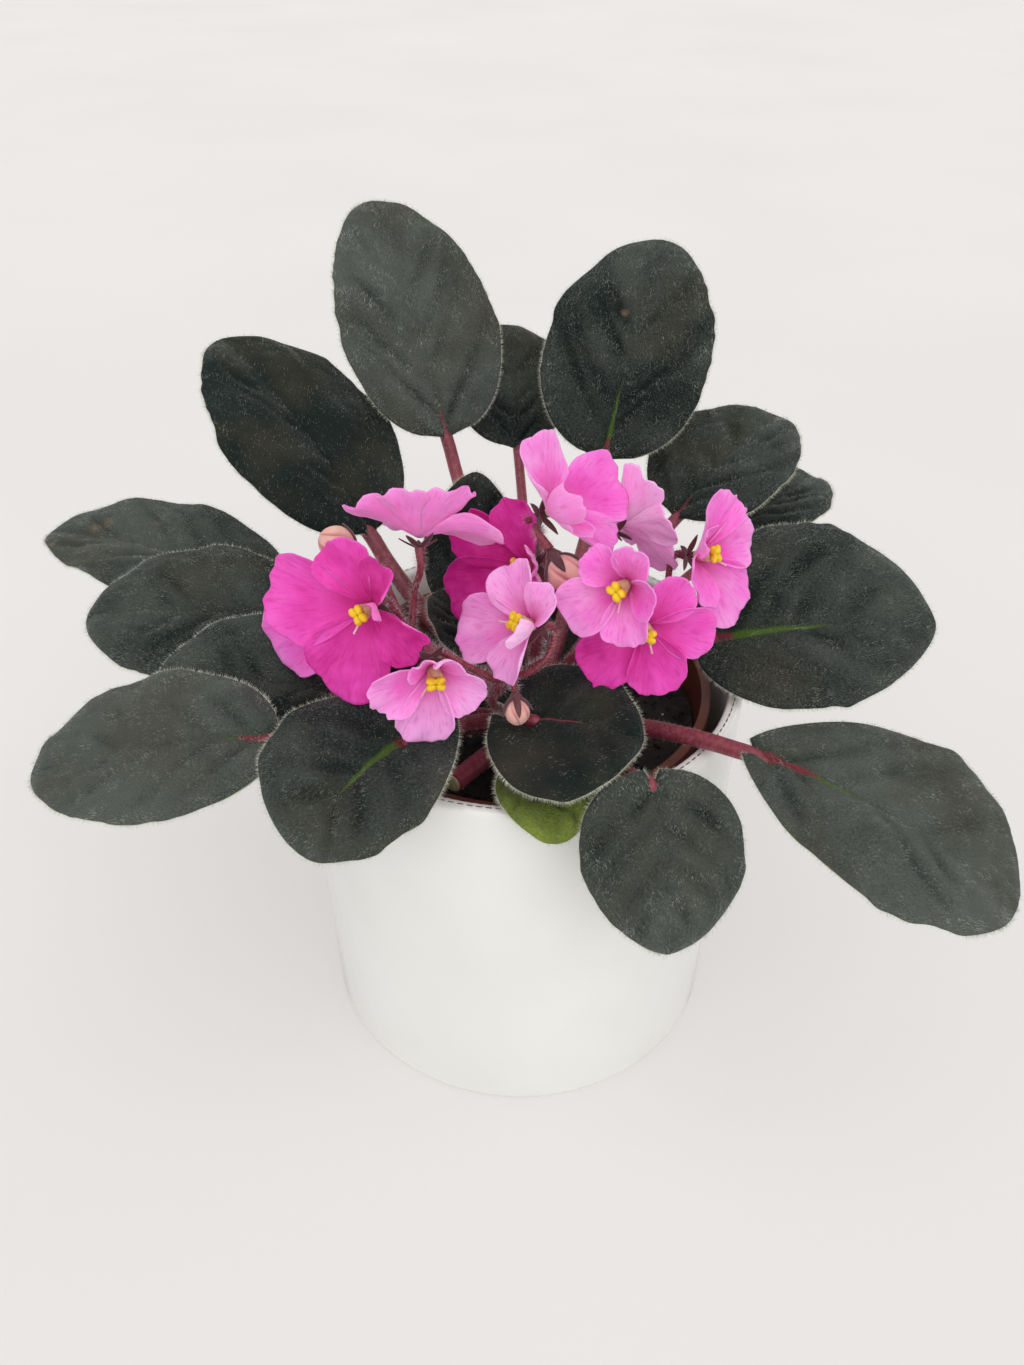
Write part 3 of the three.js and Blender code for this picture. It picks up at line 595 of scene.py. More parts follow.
hair_white = add_finish("plant_hair", (0.62, 0.58, 0.55), 0.5, {"Sheen Weight": 0.3})
mottle(hair_white, 200, 2, (0.3, (0.5, 0.42, 0.40)), (0.7, (0.72, 0.68, 0.66)))

flesh = add_finish("red_brown_stalk", (0.22, 0.03, 0.05), 0.45, {
    "Sheen Weight": 0.1, "Sheen Roughness": 0.4, "Subsurface Weight": 0.1, "Subsurface Scale": 0.001,
})
flesh_cloud = grain(flesh, 70, 4)
flesh_streaks = grain(flesh, 900, 2, stretch=(1, 1, 0.2))
flesh_red = ramp(flesh, flesh_cloud,
                 (0.3, (0.12, 0.010, 0.024)), (0.55, (0.24, 0.022, 0.050)), (0.8, (0.27, 0.060, 0.062)))
flesh_lines = ramp(flesh, flesh_streaks, (0.35, (0.10, 0.012, 0.020)), (0.7, (0.38, 0.10, 0.12)))
colour_by(flesh, share_colours(flesh, 0.35, flesh_red, flesh_lines))
emboss(flesh, flesh_streaks, 0.2 * MM, 0.6)

cut_flesh = add_finish("cut_stub", (0.36, 0.34, 0.20), 0.6)
mottle(cut_flesh, 500, 3, (0.3, (0.30, 0.22, 0.12)), (0.7, (0.42, 0.42, 0.26)))

leaves = {name: Blade(**values) for name, values in LEAVES.items()}

random.seed(5)
stem_knots = [Vector((CROWN_MIDDLE.x, CROWN_MIDDLE.y, CROWN_FOOT))]
stem_knots += [Vector((CROWN_MIDDLE.x, CROWN_MIDDLE.y, height * MM)) for height in STEM_HEIGHTS]
stem_parts = [grow_tube(stem_knots, [CROWN_RADIUS * share for share in STEM_SHARES], 6)]
stub_knots = [Vector(knot) * MM for knot in STUB_KNOTS]
stub_radii = [STUB_RADIUS] * len(stub_knots)
stem_parts.append(grow_tube(stub_knots, stub_radii, 5))
stalk_fuzz = tube_hairs(stub_knots, stub_radii, STUB_HAIRS_PER_MM, STUB_HAIR_LENGTHS)
for leaf in leaves.values():
    knots = stalk_knots(leaf)
    thickness = STALK_PER_WIDTH * leaf.width
    radii = [thickness * (1.12 - 0.02 * step) for step in range(len(knots))]
    stalk_fuzz += tube_hairs(knots, radii, STALK_HAIRS_PER_MM, STALK_HAIR_LENGTHS)
    for u in STALK_ALONG_RIB:
        radii.append(thickness * (0.85 - 1.45 * u))
        knots.append(leaf.place(u, 0, -RIB_BELOW - radii[-1]))
    stem_parts.append(grow_tube(knots, radii, 4))
stem = join_pieces(stem_parts)
bpy.ops.object.shade_smooth()
finish_piece(stem, "crown_and_leaf_stalks", [flesh], "leaf_stalk", "crown")
add_hairs("leaf_stalk_hairs", stalk_fuzz, hair_white, "leaf_stalk")

# The stub's end is a fresh flat cut, cream and green inside its red skin.
stub_run = (stub_knots[-1] - stub_knots[-2]).normalized()
bpy.ops.mesh.primitive_cylinder_add(vertices=28, radius=0.86 * STUB_RADIUS, depth=0.3 * MM)
stub_cut = bpy.context.object
shape(stub_cut)
pick(stub_cut, "FACE", looks_up)
bpy.ops.mesh.inset(thickness=0.5 * MM)
bpy.ops.transform.translate(value=(0, 0, 0.25 * MM))
bpy.ops.object.mode_set(mode="OBJECT")
stub_cut.data.transform(turned_towards(stub_run))
stub_cut.data.transform(Matrix.Translation(stub_knots[-1] + stub_run * 0.05 * MM))
finish_piece(stub_cut, "cut_stub_face", [cut_flesh], "leaf_stalk")


# ---- Leaf blades ------------------------------------------------------------------
# Thick velvety blades, dark grey-green above and paler below, quilted between sunken veins and
# edged with a fringe of white hairs. The midrib starts red or green where the stalk joins it.

BLADE_ROWS = 96
BLADE_COLUMNS = 72
BLADE_THICKNESS = 1.1 * MM
MARGIN_SHARE = 0.35
VEIN_STARTS = (0.05, 0.22, 0.40, 0.60)
VEIN_SWEEP = 0.34
VEIN_DEPTH = 1.5 * MM
RIB_DEPTH = 1.1 * MM
RIB_REACH = 1.6 * MM
SCALLOP = 0.042
SCALLOP_PITCH = 9 * MM
SCAR_FADE = 1.5
FUZZ_PER_MM2 = (1.0, 2.8)
FUZZ_LENGTHS = (0.5, 1.5)
FUZZ_SCATTER = (-0.4, 0.4)
FUZZ_THICKNESS = 1.1 * HAIR_THICKNESS
FRINGE_PER_MM = 11
FRINGE_LENGTHS = (0.7, 1.9)
FRINGE_THICKNESS = 1.4 * HAIR_THICKNESS

# Against the blade's width: how high the quilting puffs up beside the midrib, and how far each half
# rises towards its margin. SWELLS are its smaller bumps, each a fineness and a height in millimetres.
PILLOW = 0.045
FOLD = 0.04
SWELLS = ((75, 1.4), (190, 0.6), (420, 0.25))

# Brown scars on single blades: each is its u and v on the blade and its radius in millimetres.
SCARS = {
    "far_left": ((0.78, 0.25, 1.6), (0.72, 0.45, 1.8), (0.62, 0.5, 1.4), (0.52, 0.42, 1.9),
                 (0.83, -0.9, 1.5)),
    "top_right": ((0.62, -0.2, 1.3), (0.66, -0.16, 0.9)),
    "right_upper": ((0.8, -0.8, 0.7),),
}


def vein_relief(leaf, seed, u, v):
    """How high the quilting stands at a place on a blade, and how near a vein is, from 0 to 1."""
    side = abs(v)
    middle = 4 * u * (1 - u)
    lateral = side * leaf.half_width(u)
    hand = 0 if v < 0 else 5
    rib = math.exp(-((lateral / RIB_REACH) ** 2)) * (1 - u) ** 2.2
    valley = 0.0
    for number, start in enumerate(VEIN_STARTS):
        shift = noise.noise(Vector((number * 3.1, hand, seed)))
        sweep = VEIN_SWEEP * (1 + 0.6 * shift) * side ** 1.2 * (1 - 0.4 * start)
        vein_width = leaf.width * (0.042 + 0.04 * side)
        apart = (u - (start + 0.13 * shift + sweep)) * leaf.length / vein_width
        strength = 0.7 + 1.1 * noise.noise(Vector((number, hand + 2.5 * side, seed + 7)))
        valley = max(valley, math.exp(-apart * apart) * strength)
    valley *= (1 - side ** 4) * min(1, 5 * side + 0.3) * min(1, 6 * (1 - u))
    spot = Vector((u * leaf.length, v * leaf.half_width(0.5), 0.01 * seed))
    swell = MM * sum(height * noise.noise(spot * fineness) for fineness, height in SWELLS)
    swell *= (1 - side ** 8) * min(1, 4 * side + 0.2)
    puff = PILLOW * math.sin(math.pi * side ** (0.7 + 0.6 * u)) + FOLD * side
    height = leaf.width * puff * middle ** 0.5 - RIB_DEPTH * rib - VEIN_DEPTH * valley + swell
    return height * min(1, 12 * (1 - u)), max(0.6 * rib, valley)


def scalloped(leaf, seed, u, v):
    """The margin's low uneven teeth: v with its edge moved in and out."""
    along = u * leaf.length / SCALLOP_PITCH
    edge = 0.7 * noise.noise(Vector((along, 3 * v, seed)))
    edge += 0.5 * noise.noise(Vector((2.6 * along, v, seed)))
    return v * (1 + SCALLOP * edge * abs(v) ** 8 * 4 * u * (1 - u))


def held_inside(spot):
    """The nearest spot that leaves room for half the blade's thickness inside the plant's reach."""
    room = 0.5 * BLADE_THICKNESS
    return Vector([
        min(max(value, low + room), high - room)
        for value, low, high in zip(spot, solid_box[0], solid_box[1])
    ])


def add_reading(piece, name, readings):
    """Keeps one number for each corner, for the finish to read."""
    piece.data.attributes.new(name, "FLOAT", "POINT").data.foreach_set("value", readings)


def velvet_hairs(piece, leaf):
    """Short hairs that lie over the blade's upper side, more of them on a paler blade."""
    faces = [face for face in piece.data.polygons if face.area > 1e-9]
    areas = [face.area for face in faces]
    low, high = FUZZ_PER_MM2
    count = round(sum(areas) / MM ** 2 * (low + (high - low) * leaf.tone))
    places = []
    for face in random.choices(faces, areas, k=count):
        upward = face.normal if face.normal.dot(leaf.face) > 0 else -face.normal
        direction = upward * random.uniform(0.15, 0.5) + leaf.out * random.uniform(0.2, 1.0)
        direction += leaf.across * random.uniform(-0.7, 0.7)
        root = face.center + upward * 0.4 * BLADE_THICKNESS
        root += leaf.across * random.uniform(*FUZZ_SCATTER) * MM
        root += leaf.out * random.uniform(*FUZZ_SCATTER) * MM
        places.append(hair_at(root, direction, random.uniform(*FUZZ_LENGTHS) * MM, FUZZ_THICKNESS))
    return places


def fringe_hairs(piece, leaf):
    """A dense fringe of hairs round the blade's margin."""
    owners = {}
    for face in piece.data.polygons:
        for key in face.edge_keys:
            owners.setdefault(key, []).append(face)
    corners = piece.data.vertices
    places = []
    for (first, last), sharers in owners.items():
        if len(sharers) > 1:
            continue
        start, end = corners[first].co, corners[last].co
        face = sharers[0]
        run = end - start
        outward = (start + end) / 2 - face.center
        outward -= run * outward.dot(run) / max(1e-12, run.length_squared)
        outward.normalize()
        for _ in drawn(FRINGE_PER_MM * run.length / MM):
            direction = outward + face.normal * random.uniform(-0.9, 0.9)
            direction += leaf.out * random.uniform(-0.1, 0.5)
            root = start.lerp(end, random.random()) - outward * 0.2 * MM
            length = random.uniform(*FRINGE_LENGTHS) * MM
            places.append(hair_at(root, direction, length, FRINGE_THICKNESS))
    return places


def merge_corners(piece, apart):
    """Makes one corner of those that lie this near each other."""
    shape(piece)
    bpy.ops.mesh.select_all(action="SELECT")
    bpy.ops.mesh.remove_doubles(threshold=apart)
    bpy.ops.object.mode_set(mode="OBJECT")


def thicken(piece, thickness, **choices):
    """Gives an open sheet its thickness, half of it to each side."""
    pick_alone(piece)
    body = piece.modifiers.new("body", "SOLIDIFY")
    body.thickness = thickness
    body.offset = 0
    for key, value in choices.items():
        setattr(body, key, value)
    bpy.ops.object.modifier_apply(modifier=body.name)


def grow_blade(leaf, seed, scars):
    """One blade as an open sheet, with its veins and the readings for its finish."""
    bpy.ops.mesh.primitive_grid_add(x_subdivisions=BLADE_ROWS, y_subdivisions=BLADE_COLUMNS, size=2)
    blade = bpy.context.object
    readings = {}
    for corner in blade.data.vertices:
        u, v = (corner.co.x + 1) / 2, corner.co.y
        height, vein = vein_relief(leaf, seed, u, v)
        corner.co = held_inside(leaf.place(u, scalloped(leaf, seed, u, v), height))
        scar = 0
        for scar_u, scar_v, radius in scars:
            apart = corner.co - leaf.place(scar_u, scar_v)
            scar = max(scar, 1 - apart.length / (radius * SCAR_FADE * MM))
        # The tone reading paints light into the colour: the blade's own tone, growing paler towards its
        # tip.
        for key, value in (
            ("vein", vein), ("scar", scar), ("tone", leaf.tone + 0.4 * (u - 0.4)),
            ("aside", abs(v) * leaf.half_width(u) / leaf.rib),
            ("green_rib", 1 - u / leaf.green if leaf.green else 0),
            ("red_rib", 1 - u / leaf.red if leaf.red else 0),
        ):
            readings.setdefault(key, []).append(max(0, value))
    for key, values in readings.items():
        add_reading(blade, key, values)
    merge_corners(blade, 0.02 * MM)
    full = blade.vertex_groups.new(name="full_thickness")
    spots = blade.data.uv_layers[0].data
    for loop in blade.data.loops:
        along, over = spots[loop.index].uv
        inside = min(1, 5 * (1 - abs(2 * over - 1)), 7 * (1 - along) + 0.05, 9 * along + 0.2)
        full.add([loop.vertex_index], max(0, inside), "REPLACE")
    return blade


def thicken_blade(blade, under, upper, rim):
    """Gives the blade its body, thin at the margin, and a finish for each side and the rim."""
    dress(blade, [under, upper, rim])
    thicken(
        blade, BLADE_THICKNESS, vertex_group="full_thickness", thickness_vertex_group=MARGIN_SHARE,
        material_offset=1, material_offset_rim=2,
    )
    bpy.ops.object.shade_smooth()


def read_corner(made, name):
    """A feed from the numbers that were kept for the corners."""
    return add_node(made, "ShaderNodeAttribute", attribute_name=name).outputs["Fac"]


def sums(made, way, *terms):
    """A number worked out from feeds and plain numbers."""
    return add_node(made, "ShaderNodeMath", dict(enumerate(terms)), operation=way).outputs[0]


def leaf_velvet(name, dark, pale, bronze, rib_green):
    """The blade's upper finish: velvet over quilted flesh, with painted sheen and shade from the tone
    reading and painted shade in the vein valleys.
    """
    velvet = add_finish(name, dark, 0.6, {
        "Sheen Weight": 0.09, "Sheen Roughness": 0.35, "Sheen Tint": (0.82, 0.95, 0.88, 1),
        "Specular IOR Level": 0.16,
    })

    def calc(way, *terms):
        return sums(velvet, way, *terms)

    spread = add_node(velvet, "ShaderNodeUVMap", uv_map="UVMap").outputs["UV"]
    cloud = grain(velvet, 45, 5)
    nap = grain(velvet, 1, 3, spread, (200, 60, 1))
    feed = add_node(velvet, "ShaderNodeTexCoord").outputs["Object"]
    pebbles = add_node(velvet, "ShaderNodeTexVoronoi", {"Scale": 1400, "Randomness": 1.0, "Vector": feed})
    pebble = calc("SUBTRACT", 1, pebbles.outputs["Distance"])
    # The tone reading paints the velvet's sheen of light and its shade into the colour.
    share = calc("ADD", read_corner(velvet, "tone"), calc("MULTIPLY_ADD", cloud, 1.3, -0.65))
    share = calc("ADD", share, calc("MULTIPLY_ADD", nap, 0.6, -0.3))
    share = calc("ADD", share, calc("MULTIPLY_ADD", pebble, 0.4, -0.24))
    # Painted shade: the colour darkens along the sunken veins and the midrib's crease.
    share = calc("SUBTRACT", share, calc("MULTIPLY", read_corner(velvet, "vein"), 0.35))
    flesh_tone = ramp(velvet, share, (0.0, dark), (0.95, pale))
    patches = add_node(velvet, "ShaderNodeMapRange", {
        "From Min": 0.48, "From Max": 0.66, "To Max": 0.55, "Value": grain(velvet, 30, 4),
    })
    tinged = share_colours(velvet, patches.outputs[0], flesh_tone, bronze)
    aside = read_corner(velvet, "aside")
    green_rib = read_corner(velvet, "green_rib")
    red_rib = read_corner(velvet, "red_rib")
    stripe = calc("SUBTRACT", calc("POWER", calc("MAXIMUM", green_rib, red_rib), 0.5), aside)
    stripe = calc("MINIMUM", calc("MAXIMUM", calc("MULTIPLY", stripe, 2.5), 0), 1)
    reddened = calc("MINIMUM", calc("MULTIPLY", red_rib, 4), 1)
    rib_colour = share_colours(velvet, reddened, rib_green, (0.24, 0.035, 0.05))
    glow = calc("SUBTRACT", green_rib, calc("MULTIPLY", aside, 0.22))
    glow = calc("MULTIPLY", calc("MAXIMUM", glow, 0), 0.45)
    glowing = share_colours(velvet, glow, tinged, (0.014, 0.040, 0.012))
    ribbed = share_colours(velvet, calc("MULTIPLY", stripe, 0.9), glowing, rib_colour)
    scar = calc("MULTIPLY", read_corner(velvet, "scar"), 2.2)
    scar = calc("MINIMUM", calc("MULTIPLY", scar, grain(velvet, 700, 3)), 1)
    colour_by(velvet, share_colours(velvet, scar, ribbed, (0.30, 0.21, 0.13)))
    fine = calc("ADD", calc("MULTIPLY", grain(velvet, 420, 3), 0.7), calc("ADD", nap, pebble))
    emboss(velvet, fine, 0.45 * MM, 0.8)
    return velvet


leaf_green = leaf_velvet(
    "leaf_velvet", dark=(0.007, 0.0135, 0.012), pale=(0.088, 0.102, 0.089),
    bronze=(0.056, 0.050, 0.032), rib_green=(0.075, 0.150, 0.016),
)
leaf_young = leaf_velvet(
    "young_leaf_velvet", dark=(0.060, 0.090, 0.012), pale=(0.27, 0.35, 0.060),
    bronze=(0.13, 0.10, 0.03), rib_green=(0.25, 0.33, 0.08),
)
leaf_under = add_finish("leaf_underside", (0.13, 0.14, 0.11), 0.7, {"Sheen Weight": 0.25})
under_cloud = grain(leaf_under, 60, 4)
under_green = ramp(leaf_under, under_cloud, (0.3, (0.085, 0.11, 0.075)), (0.7, (0.15, 0.175, 0.125)))
under_vein = sums(leaf_under, "MULTIPLY", read_corner(leaf_under, "vein"), 0.6)
colour_by(leaf_under, share_colours(leaf_under, under_vein, under_green, (0.22, 0.09, 0.09)))
emboss(leaf_under, grain(leaf_under, 500, 3), 0.3 * MM, 0.5)
leaf_rim = add_finish("leaf_rim", (0.22, 0.24, 0.15), 0.6, {"Sheen Weight": 0.3})
mottle(leaf_rim, 200, 3, (0.3, (0.12, 0.14, 0.08)), (0.7, (0.34, 0.36, 0.25)))
velvet_hair = add_finish("velvet_hair", (0.55, 0.56, 0.52), 0.4)
mottle(velvet_hair, 200, 2, (0.4, (0.12, 0.135, 0.12)), (0.7, (0.50, 0.51, 0.47)))
fringe_hair = add_finish("fringe_hair", (0.62, 0.64, 0.54), 0.4)
mottle(fringe_hair, 120, 2, (0.3, (0.50, 0.52, 0.40)), (0.7, (0.76, 0.77, 0.68)))

for number, (name, leaf) in enumerate(leaves.items()):
    random.seed(name)
    blade = grow_blade(leaf, 1.7 * number, SCARS.get(name, ()))
    velvet = velvet_hairs(blade, leaf)
    fringe = fringe_hairs(blade, leaf)
    young = name == "front_pale"
    slot = "leaf_pale" if young else "leaf"
    thicken_blade(blade, leaf_under, leaf_young if young else leaf_green, leaf_rim)
    finish_piece(blade, "blade_" + name, [], slot, "leaf_" + name)
    add_hairs("velvet_" + name, velvet, velvet_hair, slot)
    add_hairs("fringe_" + name, fringe, fringe_hair, slot)


# ---- Flower stalks ------------------------------------------------------------------
# Four stalks spring from the crown and fork under the flowers. They are fleshy and wine-red, with
# long white hairs, and each flower and bud sits in a cup of five narrow pointed sepals.

# Each flower looks where turn and rise say: turn 0 faces the viewer in front and goes round to the
# right, and rise is how far it looks up. lip and style are the sides its anthers and its style lean to.
# Angles are degrees. A lobe is its angle round the flower, its length, the angle that it is lifted from
# flat, and how deep its pink is: 0 is pale and 1 is deep.
FLOWERS = {
    "left": dict(at=(-39, -38, 174), turn=-18, rise=20, lip=220, style=252, lobes=(
        (20, 14, 66, 0.85), (64, 20, 36, 0.95), (112, 21, 20, 0.85), (178, 28.5, 9, 0.8),
        (256, 25, 6, 0.95), (342, 19.5, 18, 1.05))),
    "left_behind": dict(at=(-47.5, -25, 162), turn=-22, rise=15, lip=210, style=230, lobes=(
        (10, 15, 35, 0.4), (80, 15, 30, 0.4), (140, 15, 14, 0.35), (207, 26.5, 4, 0.45),
        (285, 17, 15, 0.4))),
    "front_left": dict(at=(-22, -53, 166), turn=10, rise=4, lip=268, style=231, lobes=(
        (52, 12, 50, 0.2), (125, 12, 50, 0.3), (204, 18, 16, 0.15), (252, 21, 10, 0.0),
        (316, 15.5, 16, 0.08))),
    "front": dict(at=(0.8, -40, 170.8), turn=-48, rise=30, lip=185, style=200, lobes=(
        (350, 16.5, 66, -0.4), (62, 14, 22, 0.0), (135, 17.5, 12, 0.0), (214, 23, 8, 0.1),
        (270, 16.5, 12, 0.0))),
    "top_left": dict(at=(-27.5, -15, 184.5), turn=185, rise=50, lip=270, style=290, lobes=(
        (5, 21, 22, 0.5), (72, 19, 27, 0.4), (135, 20, 25, 0.45), (188, 22, -6, 0.4),
        (275, 18, 15, 0.3))),
    "middle": dict(at=(1, -11, 170), turn=-28, rise=25, lip=190, style=215, lobes=(
        (305, 20, 40, 0.35), (35, 15, 62, 0.4), (112, 20, 20, 1.0), (165, 23, 10, 1.25),
        (213, 27, 6, 1.1))),
    "top": dict(at=(8, -14, 189), turn=50, rise=35, lip=320, style=340, lobes=(
        (350, 27, 8, 0.4), (92, 21, 18, 0.2), (180, 23.5, 66, 0.5), (250, 15, 50, 0.3),
        (305, 21, 14, 0.35))),
    "top_right": dict(at=(29, 4, 176), turn=135, rise=15, lip=270, style=290, lobes=(
        (50, 13, 20, 0.1), (112, 20, 12, -0.1), (165, 18, 8, -0.1), (232, 20, 12, 0.2),
        (300, 13, 20, 0.2))),
    "right_front": dict(at=(25, -36, 180), turn=-22, rise=20, lip=230, style=274, lobes=(
        (350, 16.5, 50, 0.35), (74, 14, 38, 0.25), (150, 13.5, 18, 0.3), (216, 19, 10, 0.15),
        (288, 16, 14, 0.2))),
    "right": dict(at=(49, -8, 172), turn=42, rise=25, lip=350, style=312, lobes=(
        (9, 20, 12, 0.25), (50, 20, 22, 0.35), (128, 14, 50, 0.4), (202, 19, 35, 0.4),
        (281, 22, 12, 0.3))),
    "right_low": dict(at=(32, -30.5, 163.5), turn=5, rise=20, lip=262, style=280, lobes=(
        (0, 19, 12, 0.65), (48, 17, 20, 0.6), (130, 14, 30, 0.7), (219, 21, 8, 0.95),
        (280, 19.5, 8, 0.85))),
}

# Buds: where the petals start, which way they point, and their size against a full bud.
BUDS = {
    "top": dict(at=(8, -21, 179), points=(0.55, -0.6, -0.6), size=1.1),
    "left": dict(at=(-47, -4, 170), points=(-0.8, 0.1, 0.45), size=1.1),
    "front": dict(at=(-2, -46, 152), points=(0.1, -0.45, -0.85), size=0.75),
    "right": dict(at=(50.5, -3.5, 153), points=(0.85, -0.35, 0.1), size=1.25),
}

# Each stalk's way up from the crown, and the place that each branch passes on its way to its bloom.
CLUSTERS = {
    "left": dict(
        trunk=((-2.5, -15.5, 124.6), (-7, -19, 134), (-16, -25, 144), (-30, -26, 157)),
        flowers={"left": (-34, -27, 166), "left_behind": (-38, -20, 158), "top_left": (-29, -20, 168)},
        buds={"left": (-36, -16, 164)},
    ),
    "front": dict(
        trunk=((2.5, -17.5, 125), (-3.5, -23, 131), (-7.5, -32, 139), (-6, -38, 151)),
        flowers={"front_left": (-14, -42, 159), "front": (5.5, -39, 159)},
        buds={"front": (-3, -42, 155)},
    ),
    "right": dict(
        trunk=((7.5, -12, 124.8), (11, -12, 134), (20, -10, 144), (28, -6, 152)),
        flowers={"right_front": (28, -15, 166), "right": (40, -4, 157.5), "right_low": (31, -9, 154),
                 "top_right": (20, 4, 168)},
        buds={"right": (39, 1, 151)},
    ),
    "back": dict(
        trunk=((3, -7.5, 123.8), (4, -4, 134), (5, 2, 148), (5, 4, 164)),
        flowers={"top": (1, -1, 180), "middle": (5, 1, 170)},
        buds={"top": (4, -4, 178)},
    ),
}

TRUNK_RADIUS = 1.9 * MM
TRUNK_SHARES = (1.15, 1.0, 0.95, 1.05)
TRUNK_HAIRS_PER_MM = 26
TRUNK_HAIR_LENGTHS = (1.2, 2.8)
BRANCH_RADIUS = 0.95 * MM
BRANCH_SHARES = (1.25, 0.95, 1.0, 1.5)
BRANCH_HAIRS_PER_MM = 18
BRANCH_HAIR_LENGTHS = (1.0, 2.5)
BRANCH_ENTRY = 5 * MM
CALYX_DEPTH = 2 * MM
SEPALS = 5
SEPAL_LENGTH = 6.2 * MM
SEPAL_WIDTH = 1.9 * MM
SEPAL_THICKNESS = 0.35 * MM
THROAT_DEPTH = 3 * MM
PETAL_BACK = 0.65 * MM
BUD_RADIUS = 4.4 * MM
BUD_LENGTH = 9.5 * MM
BUD_GAP = 0.3 * MM


class Top:
    """What a branch carries: its place, the way it looks, and where the branch meets it."""

    def __init__(self, at, face, right, depth):
        self.at = Vector(at) * MM
        self.face = face
        self.right = right
        self.up = face.cross(right)
        self.seat = self.at - face * depth

    def turned(self, angle):
        """The direction at an angle round it, square to the way it looks."""
        return self.right * math.cos(angle) + self.up * math.sin(angle)


class Bloom(Top):
    """One open flower and its petals."""

    def __init__(self, at, turn, rise, lip, style, lobes):
        turn, rise = math.radians(turn), math.radians(rise)
        level = math.cos(rise)
        face = Vector((level * math.sin(turn), -level * math.cos(turn), math.sin(rise)))
        right = Vector((math.cos(turn), math.sin(turn), 0))
        super().__init__(at, face, right, THROAT_DEPTH + PETAL_BACK + CALYX_DEPTH)
        self.lip = math.radians(lip)
        self.style = math.radians(style)
        self.lobes = lobes


class Bud(Top):
    """One closed bud."""

    def __init__(self, at, points, size):
        face = Vector(points).normalized()
        super().__init__(at, face, face.orthogonal().normalized(), CALYX_DEPTH * size + BUD_GAP)
        self.size = size

    def radius_at(self, share):
        """The bud's radius at a share of its length."""
        return BUD_RADIUS * self.size * math.sqrt(max(0, 1 - (2 * share - 1) ** 2))


def grow_sepal(top, outward, width, path):
    """One lance-shaped sepal. path gives how far along and outward its middle is at each share."""
    bpy.ops.mesh.primitive_grid_add(x_subdivisions=12, y_subdivisions=4, size=2)
    sepal = bpy.context.object
    aside = top.face.cross(outward)
    for corner in sepal.data.vertices:
        share, side = (corner.co.x + 1) / 2, corner.co.y
        forward, away = path(share)
        half = width / 2 * math.sin(math.pi * (0.2 + 0.8 * share)) ** 0.8 if share < 1 else 0
        fold = -0.35 * half * side * side
        corner.co = top.seat + top.face * forward + outward * (away + fold) + aside * half * side
    thicken(sepal, SEPAL_THICKNESS)
    return sepal


def sepal_ways(top, first, length):
    """For each of a calyx's sepals, the way that it leaves the stalk and its own length."""
    for number in range(SEPALS):
        yield top.turned(2 * math.pi * (number + first) / SEPALS), length * random.uniform(0.85, 1.1)


def open_calyx(bloom):
    """Five sepals spread behind an open flower."""
    made = []
    for outward, length in sepal_ways(bloom, 0.8, SEPAL_LENGTH):
        curl = random.uniform(-0.5, 0.8) * MM

        def spread(share):
            return 0.45 * length * share - curl * share ** 3, 0.6 * MM + 0.85 * length * share

        made.append(grow_sepal(bloom, outward, SEPAL_WIDTH, spread))
    return made


def closed_calyx(bud):
    """Five sepals that clasp a bud."""
    made = []
    for outward, length in sepal_ways(bud, 0.3, (0.62 * BUD_LENGTH + CALYX_DEPTH) * bud.size):

        def clasp(share):
            forward = length * share
            share_of_bud = (forward - CALYX_DEPTH * bud.size) / (BUD_LENGTH * bud.size)
            swell = bud.radius_at(max(0.04, share_of_bud)) + 0.25 * MM
            return forward, swell * min(1, 0.35 + 2.5 * share) + 0.8 * MM * share ** 4

        made.append(grow_sepal(bud, outward, 1.25 * SEPAL_WIDTH * bud.size, clasp))
    return made


sepal_skin = add_finish("sepal", (0.10, 0.025, 0.03), 0.55, {"Sheen Weight": 0.4, "Sheen Roughness": 0.4})
mottle(sepal_skin, 260, 3,
       (0.3, (0.045, 0.012, 0.016)), (0.55, (0.12, 0.028, 0.04)), (0.8, (0.12, 0.075, 0.03)))
emboss(sepal_skin, grain(sepal_skin, 800, 2), 0.1 * MM, 0.6)

blooms = {name: Bloom(**values) for name, values in FLOWERS.items()}
buds = {name: Bud(**values) for name, values in BUDS.items()}

for cluster_name, cluster in CLUSTERS.items():
    random.seed(cluster_name)
    trunk = [Vector(knot) * MM for knot in cluster["trunk"]]
    trunk_radii = [TRUNK_RADIUS * share for share in TRUNK_SHARES]
    rods = [grow_tube(trunk, trunk_radii, 5)]
    fuzz = tube_hairs(trunk, trunk_radii, TRUNK_HAIRS_PER_MM, TRUNK_HAIR_LENGTHS)
    calyxes = []
    tops = [(blooms[name], passing, 1.0) for name, passing in cluster["flowers"].items()]
    tops += [(buds[name], passing, 0.9 * buds[name].size) for name, passing in cluster["buds"].items()]
    for top, passing, stoutness in tops:
        knots = [trunk[-1], Vector(passing) * MM, top.seat - top.face * BRANCH_ENTRY, top.seat]
        radii = [BRANCH_RADIUS * share * stoutness for share in BRANCH_SHARES]
        rods.append(grow_tube(knots, radii, 4))
        fuzz += tube_hairs(knots, radii, BRANCH_HAIRS_PER_MM, BRANCH_HAIR_LENGTHS)
        calyxes += open_calyx(top) if isinstance(top, Bloom) else closed_calyx(top)
    stalk = join_pieces(rods)
    bpy.ops.object.shade_smooth()
    finish_piece(stalk, "flower_stalk_" + cluster_name, [flesh], "flower_stalk", "stalks_" + cluster_name)
    sepals = join_pieces(calyxes)
    bpy.ops.object.shade_smooth()
    finish_piece(sepals, "sepals_" + cluster_name, [sepal_skin], "flower_stalk")
    add_hairs("flower_stalk_hairs_" + cluster_name, fuzz, hair_white, "flower_stalk")


# ---- Buds ---------------------------------------------------------------------------
# Four buds are still closed: peach-pink eggs of folded petals, rolled over each other, with a
# seam where each petal's edge lies on the next.

